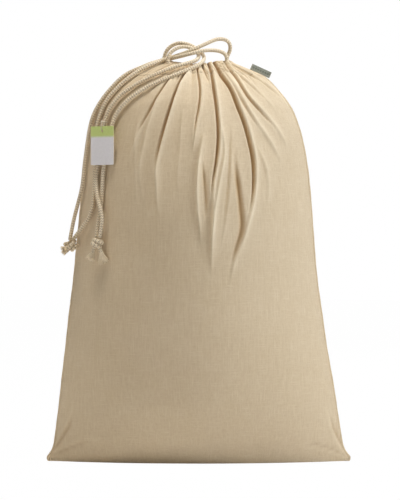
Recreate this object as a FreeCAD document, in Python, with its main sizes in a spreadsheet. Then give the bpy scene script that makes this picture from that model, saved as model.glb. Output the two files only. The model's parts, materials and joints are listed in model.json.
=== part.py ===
import FreeCAD, Part
import math
import os
import Sketcher
from FreeCAD import Placement, Rotation, Vector

# Drawstring laundry bag, standing filled with its mouth drawn shut.
# X runs across the front, -Y is the front, +Z is up, and the origin is the
# middle of the base on the floor.  All lengths are in millimetres.

doc = FreeCAD.newDocument("laundry_bag")
sheet = doc.addObject("Spreadsheet::Sheet", "Sizes")

SIZES = (
    ("bag_width", 462.0, "body across the two side folds at the base"),
    ("bag_depth", 248.0, "body from front to back at its fullest"),
    ("bag_height", 641.0, "floor to the top edge of the gathers"),
    ("fabric", 1.4, "one layer of cloth, measured level"),
    ("fold_depth", 5.0, "deepest folds below the gathers"),
    ("hem_height", 25.0, "gathered casing above its stitch line"),
    ("seam_gap", 1.6, "two seam allowances sewn together"),
    ("seam_proud", 2.5, "seam ridge outside the cloth"),
    ("seam_inside", 7.0, "seam allowance inside the cloth"),
    ("ear_length", 11.0, "pinched corner beyond the side seam"),
    ("mouth_width", 76.0, "what is left of the mouth, across"),
    ("mouth_shift", -6.0, "middle of the mouth from the middle of the bag"),
    ("mouth_gap", 10.0, "what is left of the mouth, front to back"),
    ("cord_size", 6.0, "drawcord diameter"),
    ("cord_room", 0.5, "casing clear of the cord all round"),
    ("track_half", 11.0, "middle plane to each run of a cord in the casing"),
    ("track_upper", 9.0, "top edge down to the cord that leaves on the left"),
    ("track_lower", 18.0, "top edge down to the cord that leaves on the right"),
    ("upper_turn", 26.0, "centre of the turn of the upper cord"),
    ("lower_turn", -40.0, "centre of the turn of the lower cord"),
    ("exit_rise", 2.0, "cord ends above the top edge"),
    ("exit_bend", 5.0, "bend of a cord as it leaves the casing"),
    ("tag_width", 42.0, "card across"),
    ("tag_length", 61.0, "card from top to bottom"),
    ("tag_card", 0.8, "card thickness"),
    ("tag_corner", 1.5, "card corner radius"),
    ("tag_hole", 4.0, "punched hole across"),
    ("tag_margin", 7.5, "hole centre below the top of the card"),
    ("tag_yaw", 28.0, "card turned to follow the shoulder, degrees"),
    ("tag_drop", 113.0, "string in the card below the top edge of the bag"),
    ("tag_from_side", 19.5, "string in the card from the side seam"),
    ("tag_room", 30.6, "card in front of the cloth, over the cords"),
    ("string_size", 1.2, "tag string diameter"),
    ("string_play", 0.1, "string clear of the punched hole"),
    ("string_room", 12.0, "string loop in front of the cloth, where it holds the cord"),
    ("string_reach", 3.3, "string loop towards the middle from the card"),
    ("link_depth", 6.0, "tag string link, front to back"),
    ("link_height", 13.5, "tag string link, top to bottom"),
    ("label_length", 34.5, "woven label along the seam"),
    ("label_reach", 10.0, "woven label out of the seam"),
    ("label_ply", 0.6, "one layer of the folded woven label"),
    ("label_room", 0.3, "woven label clear of its seat in the seam"),
    ("knot_across", 18.0, "overhand knot in two cords, across"),
    ("knot_tall", 27.0, "overhand knot in two cords, along the cord"),
)
for row, (alias, value, note) in enumerate(SIZES, 1):
    sheet.set("A%d" % row, note)
    sheet.set("B%d" % row, repr(value))
    sheet.setAlias("B%d" % row, alias)
doc.recompute()


def size(alias):
    return float(getattr(sheet, alias))


# ---------------------------------------------------------------- the form
# Height, reach to the left, reach to the right and depth of the filled bag,
# as shares of its height, its width and half its depth, and how strong the
# folds are there.
FORM = (
    (0.000, 0.5043, 0.4957, 0.355, 0.0),
    (0.022, 0.5065, 0.4957, 0.460, 0.0),
    (0.070, 0.5000, 0.4870, 0.637, 0.0),
    (0.172, 0.4827, 0.4654, 0.847, 0.0),
    (0.312, 0.4610, 0.4329, 0.960, 0.0),
    (0.488, 0.4329, 0.4004, 1.000, 0.0),
    (0.655, 0.4113, 0.3831, 0.976, 0.35),
    (0.789, 0.3896, 0.3593, 0.863, 0.85),
    (0.880, 0.3528, 0.3182, 0.710, 1.0),
    (0.930, 0.3052, 0.2684, 0.548, 0.9),
    (0.961, 0.2576, 0.2240, 0.387, 0.6),
    (0.9735, 0.2251, 0.1861, 0.315, 0.35),
    (0.986, 0.1818, 0.1429, 0.234, 0.1),
    (0.9953, 0.1299, 0.1039, 0.161, 0.0),
    (1.000, 0.1039, 0.0952, 0.105, 0.0),
)
# Folds that run down from the gathers, by their step along a level outline,
# from the left seam in front and from the right seam behind: valleys below
# zero and ridges above, as shares of the fold depth.
STEPS = 36
FOLDS = {
    -1: {13: -0.6, 15: -1.0, 18: -0.5, 20: -0.8, 21: 0.6, 22: -1.0, 23: 0.8, 25: -0.7, 26: 0.5},
    1: {8: -0.5, 9: 0.4, 12: -0.8, 13: 0.6, 15: -1.0, 16: 0.8, 19: -0.8, 20: 0.6, 22: -1.0, 23: 0.7,
        26: -0.6},
}


def stations(inset):
    """(z, left, right, depth, folds) up the bag, drawn in by a thickness."""
    rows = []
    for up, left, right, depth, folds in FORM:
        z = max(up * size("bag_height"), inset)
        wide = size("bag_width")
        deep = size("bag_depth") / 2
        rows.append((z, left * wide - inset, right * wide - inset, depth * deep - inset,
                     folds * size("fold_depth")))
    return rows


def section(z, left, right, depth, folds):
    """One level outline: a front and a back curve that meet at the seams."""
    edges = []
    for side in (-1, 1):
        points = []
        for step in range(STEPS + 1):
            turn = math.pi * (step / STEPS - 0.5) * -side
            reach = right if turn > 0 else left
            bulge = max(math.cos(turn), 0.0) ** 1.6
            place = Vector(reach * math.sin(turn), side * depth * bulge, z)
            outward = Vector(math.sin(turn) / reach, side * math.cos(turn) / depth, 0).normalize()
            points.append(place + outward * folds * FOLDS[side].get(step, 0.0))
        points[0].y = points[-1].y = 0.0
        curve = Part.BSplineCurve()
        curve.interpolate(points)
        edges.append(curve.toShape())
    return Part.Wire(edges)


def cloth_at(x, z):
    """Reach of the side seam at a height, and depth of the cloth at a place."""
    rows = stations(0.0)
    for low, high in zip(rows, rows[1:]):
        if z <= high[0]:
            break
    share = (z - low[0]) / (high[0] - low[0])
    left, right, depth, _ = [a + (b - a) * share for a, b in zip(low[1:], high[1:])]
    reach = left if x < 0 else right
    return reach, depth * max(1 - (x / reach) ** 2, 0) ** 0.8


def loft(name, inset):
    """A filled form through all the level outlines."""
    wires = []
    for number, row in enumerate(stations(inset)):
        outline = doc.addObject("Part::Feature", "%s_level_%02d" % (name, number))
        outline.Shape = section(*row)
        wires.append(outline)
    form = doc.addObject("Part::Loft", name)
    form.Sections = wires
    form.Solid = True
    form.Ruled = False
    return form


def box(name, x, y, z, dx, dy, dz):
    """A box whose six numbers are expressions on the sizes."""
    block = doc.addObject("Part::Box", name)
    block.setExpression("Length", dx)
    block.setExpression("Width", dy)
    block.setExpression("Height", dz)
    block.setExpression("Placement.Base.x", x)
    block.setExpression("Placement.Base.y", y)
    block.setExpression("Placement.Base.z", z)
    return block


def boolean(kind, name, base, tool):
    result = doc.addObject("Part::" + kind, name)
    result.Base = base
    result.Tool = tool
    return result


NODES = []


def keep(item, label):
    item.Label = label
    NODES.append(item)
    return item


# ---------------------------------------------------------------- the cords
def tube(points, radius):
    """A round solid on straight runs joined by tangent arcs."""
    radii = []
    edges = []
    start = points[0]
    for before, corner, after in zip(points, points[1:], points[2:]):
        into = (corner - before).normalize()
        out = (after - corner).normalize()
        shorter = min(corner.distanceToPoint(before), corner.distanceToPoint(after))
        half = into.getAngle(out) / 2
        back = 0.45 * shorter
        bend = back / math.tan(half)
        first = corner - into * back
        last = corner + out * back
        middle = (out - into).normalize()
        middle = corner + middle * (bend / math.cos(half) - bend)
        edges.append(Part.LineSegment(start, first).toShape())
        edges.append(Part.Arc(first, middle, last).toShape())
        radii.append(bend)
        start = last
    edges.append(Part.LineSegment(start, points[-1]).toShape())
    spine = Part.Wire(edges)
    ring = Part.Wire(Part.makeCircle(radius, points[0], points[1] - points[0]))
    solid = spine.makePipeShell([ring], True, False)
    share = solid.Volume / (math.pi * radius * radius * spine.Length)
    return solid, radii, spine.Length, share


def cord(label, points):
    run, radii, length, share = tube([Vector(*p) for p in points], size("cord_size") / 2)
    item = doc.addObject("Part::Feature", label)
    item.Shape = run
    bends = " ".join("%.0f" % bend for bend in radii)
    print("%s: %.0f mm, volume share %.4f, radii %s" % (label, length, share, bends))
    return keep(item, label)


def track(exits, turn_x, drop, toward):
    """Points of a cord inside the casing: out of it, round the mouth and back."""
    top = size("bag_height") + size("exit_rise")
    level = size("bag_height") - drop
    half = size("track_half")
    soft = half * math.tan(math.pi / 8)
    tip = turn_x + toward * half
    return [
        Vector(exits[0], half, top),
        Vector(exits[0], half, level),
        Vector(turn_x + toward * (half - soft), half, level),
        Vector(tip, soft, level),
        Vector(tip, -soft, level),
        Vector(turn_x + toward * (half - soft), -half, level),
        Vector(exits[1], -half, level),
        Vector(exits[1], -half, top),
    ]


def casing_run(exits, turn_x, drop, toward, radius, spare):
    points = track(exits, turn_x, drop, toward)
    points[0] += Vector(0, 0, spare)
    points[-1] += Vector(0, 0, spare)
    edges = []
    bend = size("exit_bend")
    half = size("track_half")
    level = points[1].z
    for end, corner in ((points[0], points[1]), (points[-1], points[6])):
        inward = Vector(toward, 0, 0)
        top = corner + Vector(0, 0, bend)
        side = corner + inward * bend
        middle = corner + (inward + Vector(0, 0, 1)) * bend * (1 - math.sqrt(0.5))
        turn = Vector(turn_x, corner.y, level)
        edges.append(Part.LineSegment(end, top).toShape())
        edges.append(Part.Arc(top, middle, side).toShape())
        edges.append(Part.LineSegment(side, turn).toShape())
    far = Vector(turn_x + toward * half, 0, level)
    ends = [Vector(turn_x, sign * half, level) for sign in (1, -1)]
    edges.append(Part.Arc(ends[0], far, ends[1]).toShape())
    spine = Part.Wire(Part.__sortEdges__(edges))
    ring = Part.Wire(Part.makeCircle(radius, points[0], Vector(0, 0, 1)))
    solid = spine.makePipeShell([ring], True, False)
    return solid, solid.Volume / (math.pi * radius * radius * spine.Length)


# Where each cord leaves the casing, across the bag: back run, then front run.
LEFT_EXITS = (-58.0, -51.0)
RIGHT_EXITS = (43.0, 43.0)
RUNS = (
    ("cord_a_casing_run", LEFT_EXITS, "upper_turn", "track_upper", 1),
    ("cord_b_casing_run", RIGHT_EXITS, "lower_turn", "track_lower", -1),
)
bores = []
for label, exits, turn, drop, toward in RUNS:
    plan = (exits, size(turn), size(drop), toward)
    run, share = casing_run(*plan, size("cord_size") / 2, 0)
    print("%s: volume share %.4f" % (label, share))
    item = doc.addObject("Part::Feature", label)
    item.Shape = run
    keep(item, label)
    bore = doc.addObject("Part::Feature", label + "_bore")
    bore.Shape = casing_run(*plan, size("cord_size") / 2 + size("cord_room"), 20)[0]
    bores.append(bore)

cord("cord_a_outer_strand", (
    (-58, 11, 643), (-58, 11, 653), (-50, 8, 666), (-35, 5, 673), (-18, 2, 670),
    (-3, 0, 661), (6, -8, 651), (7, -24, 641), (-6, -42, 630), (-31, -51, 619),
    (-64, -56, 606), (-94, -56, 591), (-121, -52, 570), (-136, -49, 549),
    (-142, -51, 527), (-148, -53, 497), (-153, -55, 462), (-154, -57, 437),
    (-155, -58, 414), (-160, -58, 387), (-163, -63, 358),
))
cord("cord_a_inner_strand", (
    (-51, -11, 643), (-51, -11, 651), (-40, -8, 662), (-24, -5, 666.5), (-9, -4, 661),
    (-1, -9, 651.5), (-4, -24, 641.5), (-23, -36, 635), (-45, -40, 628), (-74, -43, 616),
    (-101, -42, 602), (-128, -38, 584), (-146, -37, 561), (-152, -40, 536),
    (-157, -43, 504), (-161, -44, 474), (-165, -46, 448), (-162, -61, 422),
    (-155, -71, 400), (-153, -73, 381), (-158, -70, 358),
))
cord("cord_b_outer_strand", (
    (43, 11, 643), (43, 11, 650), (50, 8.5, 663), (46, 3, 676), (30, -3, 679),
    (11, -10, 670), (-10, -15, 660), (-31, -5, 652.5), (-52, 3.5, 647),
    (-66, 0, 642.5), (-80, -5, 638), (-98, -6, 630.5), (-122, -6, 620),
    (-147, -6, 594.5), (-165, -7, 569), (-175, -8.5, 545), (-180.5, -11, 510),
    (-185, -14, 475), (-188, -14, 440), (-197, -10, 408), (-204, -12, 380),
    (-208, -15, 354),
))
cord("cord_b_inner_strand", (
    (43, -11, 643), (43, -11, 650), (35, -13, 656.5), (22, -17, 658.5), (6, -21, 657.5),
    (-12, -21.5, 653), (-31, -12.5, 649), (-50, -3.5, 645.5), (-64, -7, 641.5),
    (-80, -14, 635), (-102, -17, 624), (-130, -19, 601), (-151, -19, 577),
    (-163, -22, 546), (-167, -28, 514), (-167, -37, 477), (-167, -42, 444),
    (-169, -45, 412), (-175, -41, 390), (-188, -29, 375), (-203, -20, 355),
))

# Knots that join the two ends of each drawcord, and the cut ends below them.
KNOTS = (
    ("cord_b_knot", (-206, -18, 346)),
    ("cord_a_knot", (-162, -67, 350)),
)
TAILS = (
    ("cord_b_tail", ((-211, -19, 342), (-217, -21, 341), (-222, -22, 337))),
    ("cord_a_tail_long", ((-158, -69, 343), (-155, -70, 331), (-151, -72, 320))),
    ("cord_a_tail_short", ((-166, -66, 343), (-169, -63, 332), (-173, -60, 323))),
)
for label, points in TAILS:
    cord(label, points)
for label, centre in KNOTS:
    lump = doc.addObject("Part::Ellipsoid", label)
    lump.setExpression("Radius1", "Sizes.knot_tall / 2")
    lump.setExpression("Radius2", "Sizes.knot_across / 2")
    lump.setExpression("Radius3", "Sizes.knot_across / 2")
    lump.Placement = Placement(Vector(*centre), Rotation())
    keep(lump, label)

# ---------------------------------------------------------------- the cloth
outer = loft("outer_form", 0.0)
inner = loft("inner_form", size("fabric"))
WIDE = "Sizes.bag_width * 1.2"
LEVEL = "Sizes.bag_height - Sizes.hem_height"
for side, label in ((-1, "front"), (1, "back")):
    start = "-Sizes.bag_depth - Sizes.seam_gap / 2" if side < 0 else "Sizes.seam_gap / 2"
    low = box(label + "_low", "-Sizes.bag_width * 0.6", start, "0", WIDE, "Sizes.bag_depth", LEVEL)
    high = box(label + "_high", "-Sizes.bag_width * 0.6", start, LEVEL, WIDE,
               "Sizes.bag_depth", "Sizes.hem_height")
    wall = boolean("Common", label + "_wall", outer, low)
    keep(boolean("Cut", label + "_panel", wall, inner), label + "_panel")
    hem = boolean("Common", label + "_hem", outer, high)
    mouth = box(label + "_mouth", "Sizes.mouth_shift - Sizes.mouth_width / 2",
                "-Sizes.mouth_gap / 2", LEVEL + " - 1", "Sizes.mouth_width",
                "Sizes.mouth_gap", "Sizes.hem_height + 2")
    for number, cutter in enumerate([mouth] + bores):
        hem = boolean("Cut", "%s_hem_cut_%d" % (label, number), hem, cutter)
    keep(hem, label + "_casing")

# Side seams: the two sewn allowances between the panels, proud outside.
proud = size("seam_proud")
within = size("seam_inside")
thick = size("seam_gap")


def offset_rows(side, distance):
    """The side fold moved square to itself, in the XZ plane."""
    column = 1 if side < 0 else 2
    line = [Vector(side * row[column], 0, row[0]) for row in stations(0.0)]
    moved = []
    for index, point in enumerate(line):
        rise = line[min(index + 1, len(line) - 1)] - line[max(index - 1, 0)]
        moved.append(point + Vector(side * rise.z, 0, -side * rise.x).normalize() * distance)
    return line, moved


def seam_profile(side):
    """Closed outline of one side seam in the XZ plane, with its pinched corner."""
    line, out = offset_rows(side, proud)
    back = offset_rows(side, -within)[1]
    out = out[2:-2] + [(line[-2] + out[-2]) * 0.5, line[-1]]
    back[0] = line[0] - Vector(side * within, 0, 0)
    foot = line[0].x + side * proud
    tip = foot + side * size("ear_length")
    ear = [
        back[0],
        Vector(foot, 0, 0),
        Vector(tip - side * 2, 0, 3.5),
        Vector(tip, 0, 6.5),
        Vector(tip - side * 5, 0, 14),
        Vector(tip - side * 10, 0, 24),
        out[0],
    ]
    outside = Part.BSplineCurve()
    outside.interpolate(out)
    inside = Part.BSplineCurve()
    inside.interpolate(back[::-1])
    edges = [outside.toShape(), Part.LineSegment(out[-1], back[-1]).toShape(), inside.toShape()]
    edges += [Part.LineSegment(a, b).toShape() for a, b in zip(ear, ear[1:])]
    return Part.Face(Part.Wire(Part.__sortEdges__(edges)))


# The woven label is seated in the right-hand seam, on the shoulder.
shoulder, ridge = offset_rows(1, proud)
along = (shoulder[-5] - shoulder[-4]).normalize()
away = Vector(-along.z, 0, along.x)
seat = (shoulder[-4] + shoulder[-5]) * 0.5 + away * proud
turned = Rotation(along, Vector(0, 1, 0), away, "XYZ")

for side, label in ((-1, "side_seam_left"), (1, "side_seam_right")):
    face = doc.addObject("Part::Feature", label + "_outline")
    face.Shape = seam_profile(side)
    strip = doc.addObject("Part::Extrusion", label + "_strip")
    strip.Base = face
    strip.DirMode = "Custom"
    strip.Dir = Vector(0, 1, 0)
    strip.Symmetric = True
    strip.setExpression("LengthFwd", "Sizes.seam_gap")
    strip.Solid = True
    if side < 0:
        keep(strip, label)
    else:
        notch = doc.addObject("Part::Box", "label_seat")
        notch.setExpression("Length", "Sizes.label_length + 2 * Sizes.label_room")
        notch.setExpression("Width", "Sizes.label_reach")
        notch.setExpression("Height", "Sizes.label_reach")
        shift = Vector(-size("label_length") / 2 - size("label_room"), -size("label_reach") / 2,
                       -size("label_ply") - size("label_room"))
        notch.Placement = Placement(seat + turned.multVec(shift), turned)
        keep(boolean("Cut", label, strip, notch), label)

base = stations(0.0)[0]
keep(box("bottom_seam", "%r" % (within - base[1]), "-Sizes.seam_gap / 2", "0",
         "%r" % (base[1] + base[2] - 2 * within), "Sizes.seam_gap", "Sizes.seam_inside"), "bottom_seam")


# ------------------------------------------------------- the tag and the label
def plane(body, role):
    return [item for item in body.Origin.OriginFeatures if item.Role == role][0]


def sketch_on(body, name, role):
    sketch = body.newObject("Sketcher::SketchObject", name)
    sketch.AttachmentSupport = (plane(body, role), "")
    sketch.MapMode = "FlatFace"
    return sketch


def segment(sketch, a, b):
    return sketch.addGeometry(Part.LineSegment(Vector(*a, 0), Vector(*b, 0)), False)


tag = doc.addObject("PartDesign::Body", "hang_tag")
card = sketch_on(tag, "card_outline", "XY_Plane")
w = size("tag_width") / 2
up = size("tag_margin")
down = size("tag_margin") - size("tag_length")
corners = ((-w, down), (w, down), (w, up), (-w, up))
for a, b in zip(corners, corners[1:] + corners[:1]):
    segment(card, a, b)
for index in range(4):
    card.addConstraint(Sketcher.Constraint("Coincident", index, 2, (index + 1) % 4, 1))
for index, kind in enumerate(("Horizontal", "Vertical", "Horizontal", "Vertical")):
    card.addConstraint(Sketcher.Constraint(kind, index))
card.addConstraint(Sketcher.Constraint("DistanceX", 2, 2, 2, 1, 2 * w))
card.setExpression("Constraints[8]", "Sizes.tag_width")
card.addConstraint(Sketcher.Constraint("DistanceY", 1, 1, 1, 2, up - down))
card.setExpression("Constraints[9]", "Sizes.tag_length")
card.addConstraint(Sketcher.Constraint("DistanceY", -1, 1, 1, 2, up))
card.setExpression("Constraints[10]", "Sizes.tag_margin")
card.addConstraint(Sketcher.Constraint("DistanceX", -1, 1, 1, 2, w))
card.setExpression("Constraints[11]", "Sizes.tag_width / 2")
sheet_pad = tag.newObject("PartDesign::Pad", "card_pad")
sheet_pad.Profile = card
sheet_pad.Midplane = True
sheet_pad.setExpression("Length", "Sizes.tag_card")
doc.recompute()
hole = sketch_on(tag, "hole_outline", "XY_Plane")
hole.addGeometry(Part.Circle(Vector(0, 0, 0), Vector(0, 0, 1), size("tag_hole") / 2), False)
hole.addConstraint(Sketcher.Constraint("Coincident", 0, 3, -1, 1))
hole.addConstraint(Sketcher.Constraint("Diameter", 0, size("tag_hole")))
hole.setExpression("Constraints[1]", "Sizes.tag_hole")
punch = tag.newObject("PartDesign::Pocket", "punched_hole")
punch.Profile = hole
punch.Midplane = True
punch.setExpression("Length", "Sizes.tag_card * 3")
doc.recompute()
upright = [
    "Edge%d" % (number + 1)
    for number, edge in enumerate(punch.Shape.Edges)
    if len(edge.Vertexes) == 2 and edge.Length < size("tag_card") * 1.01
    and abs(edge.Vertexes[0].X) > w * 0.9
]
rounds = tag.newObject("PartDesign::Fillet", "card_corners")
rounds.Base = (punch, upright)
rounds.setExpression("Radius", "Sizes.tag_corner")
tag.Tip = rounds

# The string passes through the hole as a round pin, so the card hangs from it.
HANG = Vector(-1, 0, size("bag_height") - size("tag_drop"))
HANG.x = size("tag_from_side") - cloth_at(HANG.x, HANG.z)[0]
HANG.y = -cloth_at(HANG.x, HANG.z)[1] - size("tag_room")
yaw = math.radians(size("tag_yaw"))
facing = Vector(-math.sin(yaw), -math.cos(yaw), 0)
sideways = Vector(math.cos(yaw), -math.sin(yaw), 0)
gap = (size("tag_hole") - size("string_size")) / 2 - size("string_play")
tag.Placement = Placement(HANG - Vector(0, 0, gap), Rotation(sideways, Vector(0, 0, 1), facing, "XYZ"))
keep(tag, "hang_tag")

half = size("link_depth") / 2
rise = size("link_height")
ring_z = HANG.z + rise
RING = Vector(HANG.x + size("string_reach"), 0, 0)
RING.y = -cloth_at(RING.x, ring_z)[1] - size("string_room")
bend = size("cord_size") / 2 + size("string_size") / 2 + 1.0
reach = Vector(HANG.x, HANG.y, 0) - RING
reach.z = 0
ahead = Vector(reach).normalize()
beside = Vector(-ahead.y, ahead.x, 0)
back_end = RING + Vector(0, 0, ring_z)
front_end = Vector(HANG.x, HANG.y, ring_z) - ahead * (half + bend - 4.0)


def slot_ring(a, b, radius, across, wire_radius, name):
    """A closed long loop of string round two centres."""
    line = (b - a).normalize()
    side = across * radius
    edges = [
        Part.LineSegment(a + side, b + side).toShape(),
        Part.Arc(b + side, b + line * radius, b - side).toShape(),
        Part.LineSegment(b - side, a - side).toShape(),
        Part.Arc(a - side, a - line * radius, a + side).toShape(),
    ]
    spine = Part.Wire(edges)
    profile = Part.Wire(Part.makeCircle(wire_radius, a + side, line))
    item = doc.addObject("Part::Feature", name)
    item.Shape = spine.makePipeShell([profile], True, False)
    return item


string = size("string_size") / 2
around = slot_ring(back_end, front_end, bend, beside, string, "string_round_cord")
link_low = HANG + Vector(0, 0, half)
link_high = Vector(HANG.x, HANG.y, ring_z + 1.0 - half)
link = slot_ring(link_low, link_high, half, facing, string, "string_through_card")
tie = doc.addObject("Part::MultiFuse", "tag_string")
tie.Shapes = [around, link]
keep(tie, "tag_string")

woven = doc.addObject("PartDesign::Body", "woven_label")
fold = sketch_on(woven, "fold_outline", "YZ_Plane")
ply = size("label_ply")
far = size("label_reach") - ply
fold.addGeometry(Part.LineSegment(Vector(-ply, 0, 0), Vector(-ply, far, 0)), False)
fold.addGeometry(Part.LineSegment(Vector(ply, far, 0), Vector(ply, 0, 0)), False)
fold.addGeometry(
    Part.ArcOfCircle(Part.Circle(Vector(0, far, 0), Vector(0, 0, 1), ply), 0, math.pi), False)
fold.addGeometry(
    Part.ArcOfCircle(Part.Circle(Vector(0, 0, 0), Vector(0, 0, 1), ply), math.pi, 2 * math.pi), False)
fold.addConstraint(Sketcher.Constraint("Coincident", 0, 2, 2, 2))
fold.addConstraint(Sketcher.Constraint("Coincident", 1, 1, 2, 1))
fold.addConstraint(Sketcher.Constraint("Coincident", 0, 1, 3, 1))
fold.addConstraint(Sketcher.Constraint("Coincident", 1, 2, 3, 2))
fold.addConstraint(Sketcher.Constraint("Coincident", 3, 3, -1, 1))
fold.addConstraint(Sketcher.Constraint("Vertical", 0))
fold.addConstraint(Sketcher.Constraint("Vertical", 1))
fold.addConstraint(Sketcher.Constraint("DistanceX", 3, 1, 3, 3, ply))
fold.setExpression("Constraints[7]", "Sizes.label_ply")
fold.addConstraint(Sketcher.Constraint("DistanceY", 3, 3, 2, 3, far))
fold.setExpression("Constraints[8]", "Sizes.label_reach - Sizes.label_ply")
label_pad = woven.newObject("PartDesign::Pad", "label_pad")
label_pad.Profile = fold
label_pad.Midplane = True
label_pad.setExpression("Length", "Sizes.label_length")
woven.Tip = label_pad
woven.Placement = Placement(seat, turned)
keep(woven, "woven_label")

# ---------------------------------------------------------------- write it all
doc.recompute()
faults = []
for item in doc.Objects:
    if {"Invalid", "Error"} & set(item.State):
        faults.append("%s: %s %s" % (item.Name, item.State, item.getStatusString()))
for item in NODES:
    shape = item.Shape
    if shape.isNull() or not shape.isValid() or not shape.Solids:
        faults.append("%s: bad shape" % item.Label)
if faults:
    raise RuntimeError("; ".join(faults))
os.makedirs("parts", exist_ok=True)
for item in NODES:
    item.Shape.exportStep(os.path.join("parts", item.Label + ".step"))
    bounds = item.Shape.BoundBox
    print("%-22s %d solid %9.0f mm3  x %.1f..%.1f  y %.1f..%.1f  z %.1f..%.1f" % (
        item.Label, len(item.Shape.Solids), item.Shape.Volume, bounds.XMin, bounds.XMax,
        bounds.YMin, bounds.YMax, bounds.ZMin, bounds.ZMax))
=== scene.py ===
import json
import math

import bpy
import numpy as np
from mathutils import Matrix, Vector


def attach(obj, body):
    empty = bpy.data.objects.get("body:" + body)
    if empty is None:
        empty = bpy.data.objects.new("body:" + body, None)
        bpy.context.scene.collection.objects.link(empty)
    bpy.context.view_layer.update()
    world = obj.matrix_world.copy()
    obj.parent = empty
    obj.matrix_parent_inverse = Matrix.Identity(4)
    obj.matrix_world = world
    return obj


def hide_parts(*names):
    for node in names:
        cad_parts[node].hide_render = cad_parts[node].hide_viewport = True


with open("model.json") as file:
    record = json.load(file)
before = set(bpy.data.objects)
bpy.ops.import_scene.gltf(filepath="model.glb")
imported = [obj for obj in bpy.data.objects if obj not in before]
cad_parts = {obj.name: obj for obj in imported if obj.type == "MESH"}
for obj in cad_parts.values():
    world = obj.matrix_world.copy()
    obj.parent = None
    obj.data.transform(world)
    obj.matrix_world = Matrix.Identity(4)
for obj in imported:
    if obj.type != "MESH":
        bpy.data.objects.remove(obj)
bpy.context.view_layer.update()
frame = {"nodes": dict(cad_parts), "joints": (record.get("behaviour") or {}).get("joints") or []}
DICE = np.random.default_rng(11)
MM = 0.001

# Sizes and places that several pieces share, in millimetres. SEAM_GAP is half the space left
# between the front and the back where they meet, and GREEN_BAND how far the tag's band reaches
# below its hole.
TOP = 641.0
HEM_FOOT = 617.0
SEAM_GAP = 0.8
TAG_HOLE = np.array((-154.0, -59.46, 528.0))
TAG_FACING = np.array((-0.4695, -0.8829, 0.0))
TAG_SIDEWAYS = np.array((0.8829, -0.4695, 0.0))
GREEN_BAND = 12.15
# The label's tape as cut, in metres.
LABEL_CUT = (0.0345, 0.021)

# ------------------------------------------------------------------ view
scene = bpy.context.scene
scene.view_settings.view_transform = "Standard"


def aim(item, target):
    """Turn a lamp or the camera to look at a place."""
    item.rotation_euler = (Vector(target) - item.location).to_track_quat("-Z", "Y").to_euler()


camera = bpy.data.objects.new("camera", bpy.data.cameras.new("camera"))
scene.collection.objects.link(camera)
CAMERA_AWAY, VIEW_HEIGHT, FILM_HEIGHT = 3.0, 0.8035, 36.0
camera.location = (0.0, -CAMERA_AWAY, 0.345)
camera.data.sensor_fit = "VERTICAL"
camera.data.sensor_height = FILM_HEIGHT
camera.data.lens = FILM_HEIGHT * CAMERA_AWAY / VIEW_HEIGHT
camera.data.clip_start = 0.1
camera.data.clip_end = 60.0
aim(camera, (0.0, 0.0, 0.339))
scene.camera = camera


# ------------------------------------------------------------------ node helpers
class Tree:
    """A short way to add nodes to a material or a group."""

    def __init__(self, tree):
        self.tree = tree

    def add(self, kind, **values):
        node = self.tree.nodes.new(kind)
        for name, value in values.items():
            if hasattr(node, name):
                setattr(node, name, value)
            else:
                node.inputs[name].default_value = value
        return node

    def link(self, start, end):
        self.tree.links.new(start, end)

    def math(self, operation, first, second=0.0, clamp=False):
        node = self.add("ShaderNodeMath", operation=operation, use_clamp=clamp)
        for socket, value in zip(node.inputs, (first, second)):
            if isinstance(value, (int, float)):
                socket.default_value = value
            else:
                self.link(value, socket)
        return node.outputs[0]

    def mix(self, factor, first, second):
        node = self.add("ShaderNodeMix", data_type="RGBA")
        for socket, value in ((node.inputs[0], factor), (node.inputs[6], first), (node.inputs[7], second)):
            if isinstance(value, (int, float, tuple)):
                socket.default_value = value
            else:
                self.link(value, socket)
        return node.outputs[2]

    def ramp(self, value, stops):
        node = self.add("ShaderNodeValToRGB")
        self.link(value, node.inputs[0])
        ramp = node.color_ramp
        while len(ramp.elements) < len(stops):
            ramp.elements.new(0.5)
        for element, (place, shade) in zip(ramp.elements, stops):
            element.position = place
            element.color = (shade, shade, shade, 1.0) if isinstance(shade, float) else shade
        return node.outputs[0]


def srgb(red, green, blue):
    """A colour from its everyday 0 to 255 values."""
    out = []
    for part in (red, green, blue):
        part /= 255.0
        out.append(part / 12.92 if part <= 0.04045 else ((part + 0.055) / 1.055) ** 2.4)
    return (*out, 1.0)


def group(name, inputs, outputs):
    """An empty node group, with its inputs' outlets and its outputs' inlets."""
    tree = bpy.data.node_groups.new(name, "ShaderNodeTree")
    for label, kind, value in inputs:
        socket = tree.interface.new_socket(label, in_out="INPUT", socket_type=kind)
        socket.default_value = value
    for label, kind in outputs:
        tree.interface.new_socket(label, in_out="OUTPUT", socket_type=kind)
    made = Tree(tree)
    return made, made.add("NodeGroupInput").outputs, made.add("NodeGroupOutput").inputs


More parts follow.
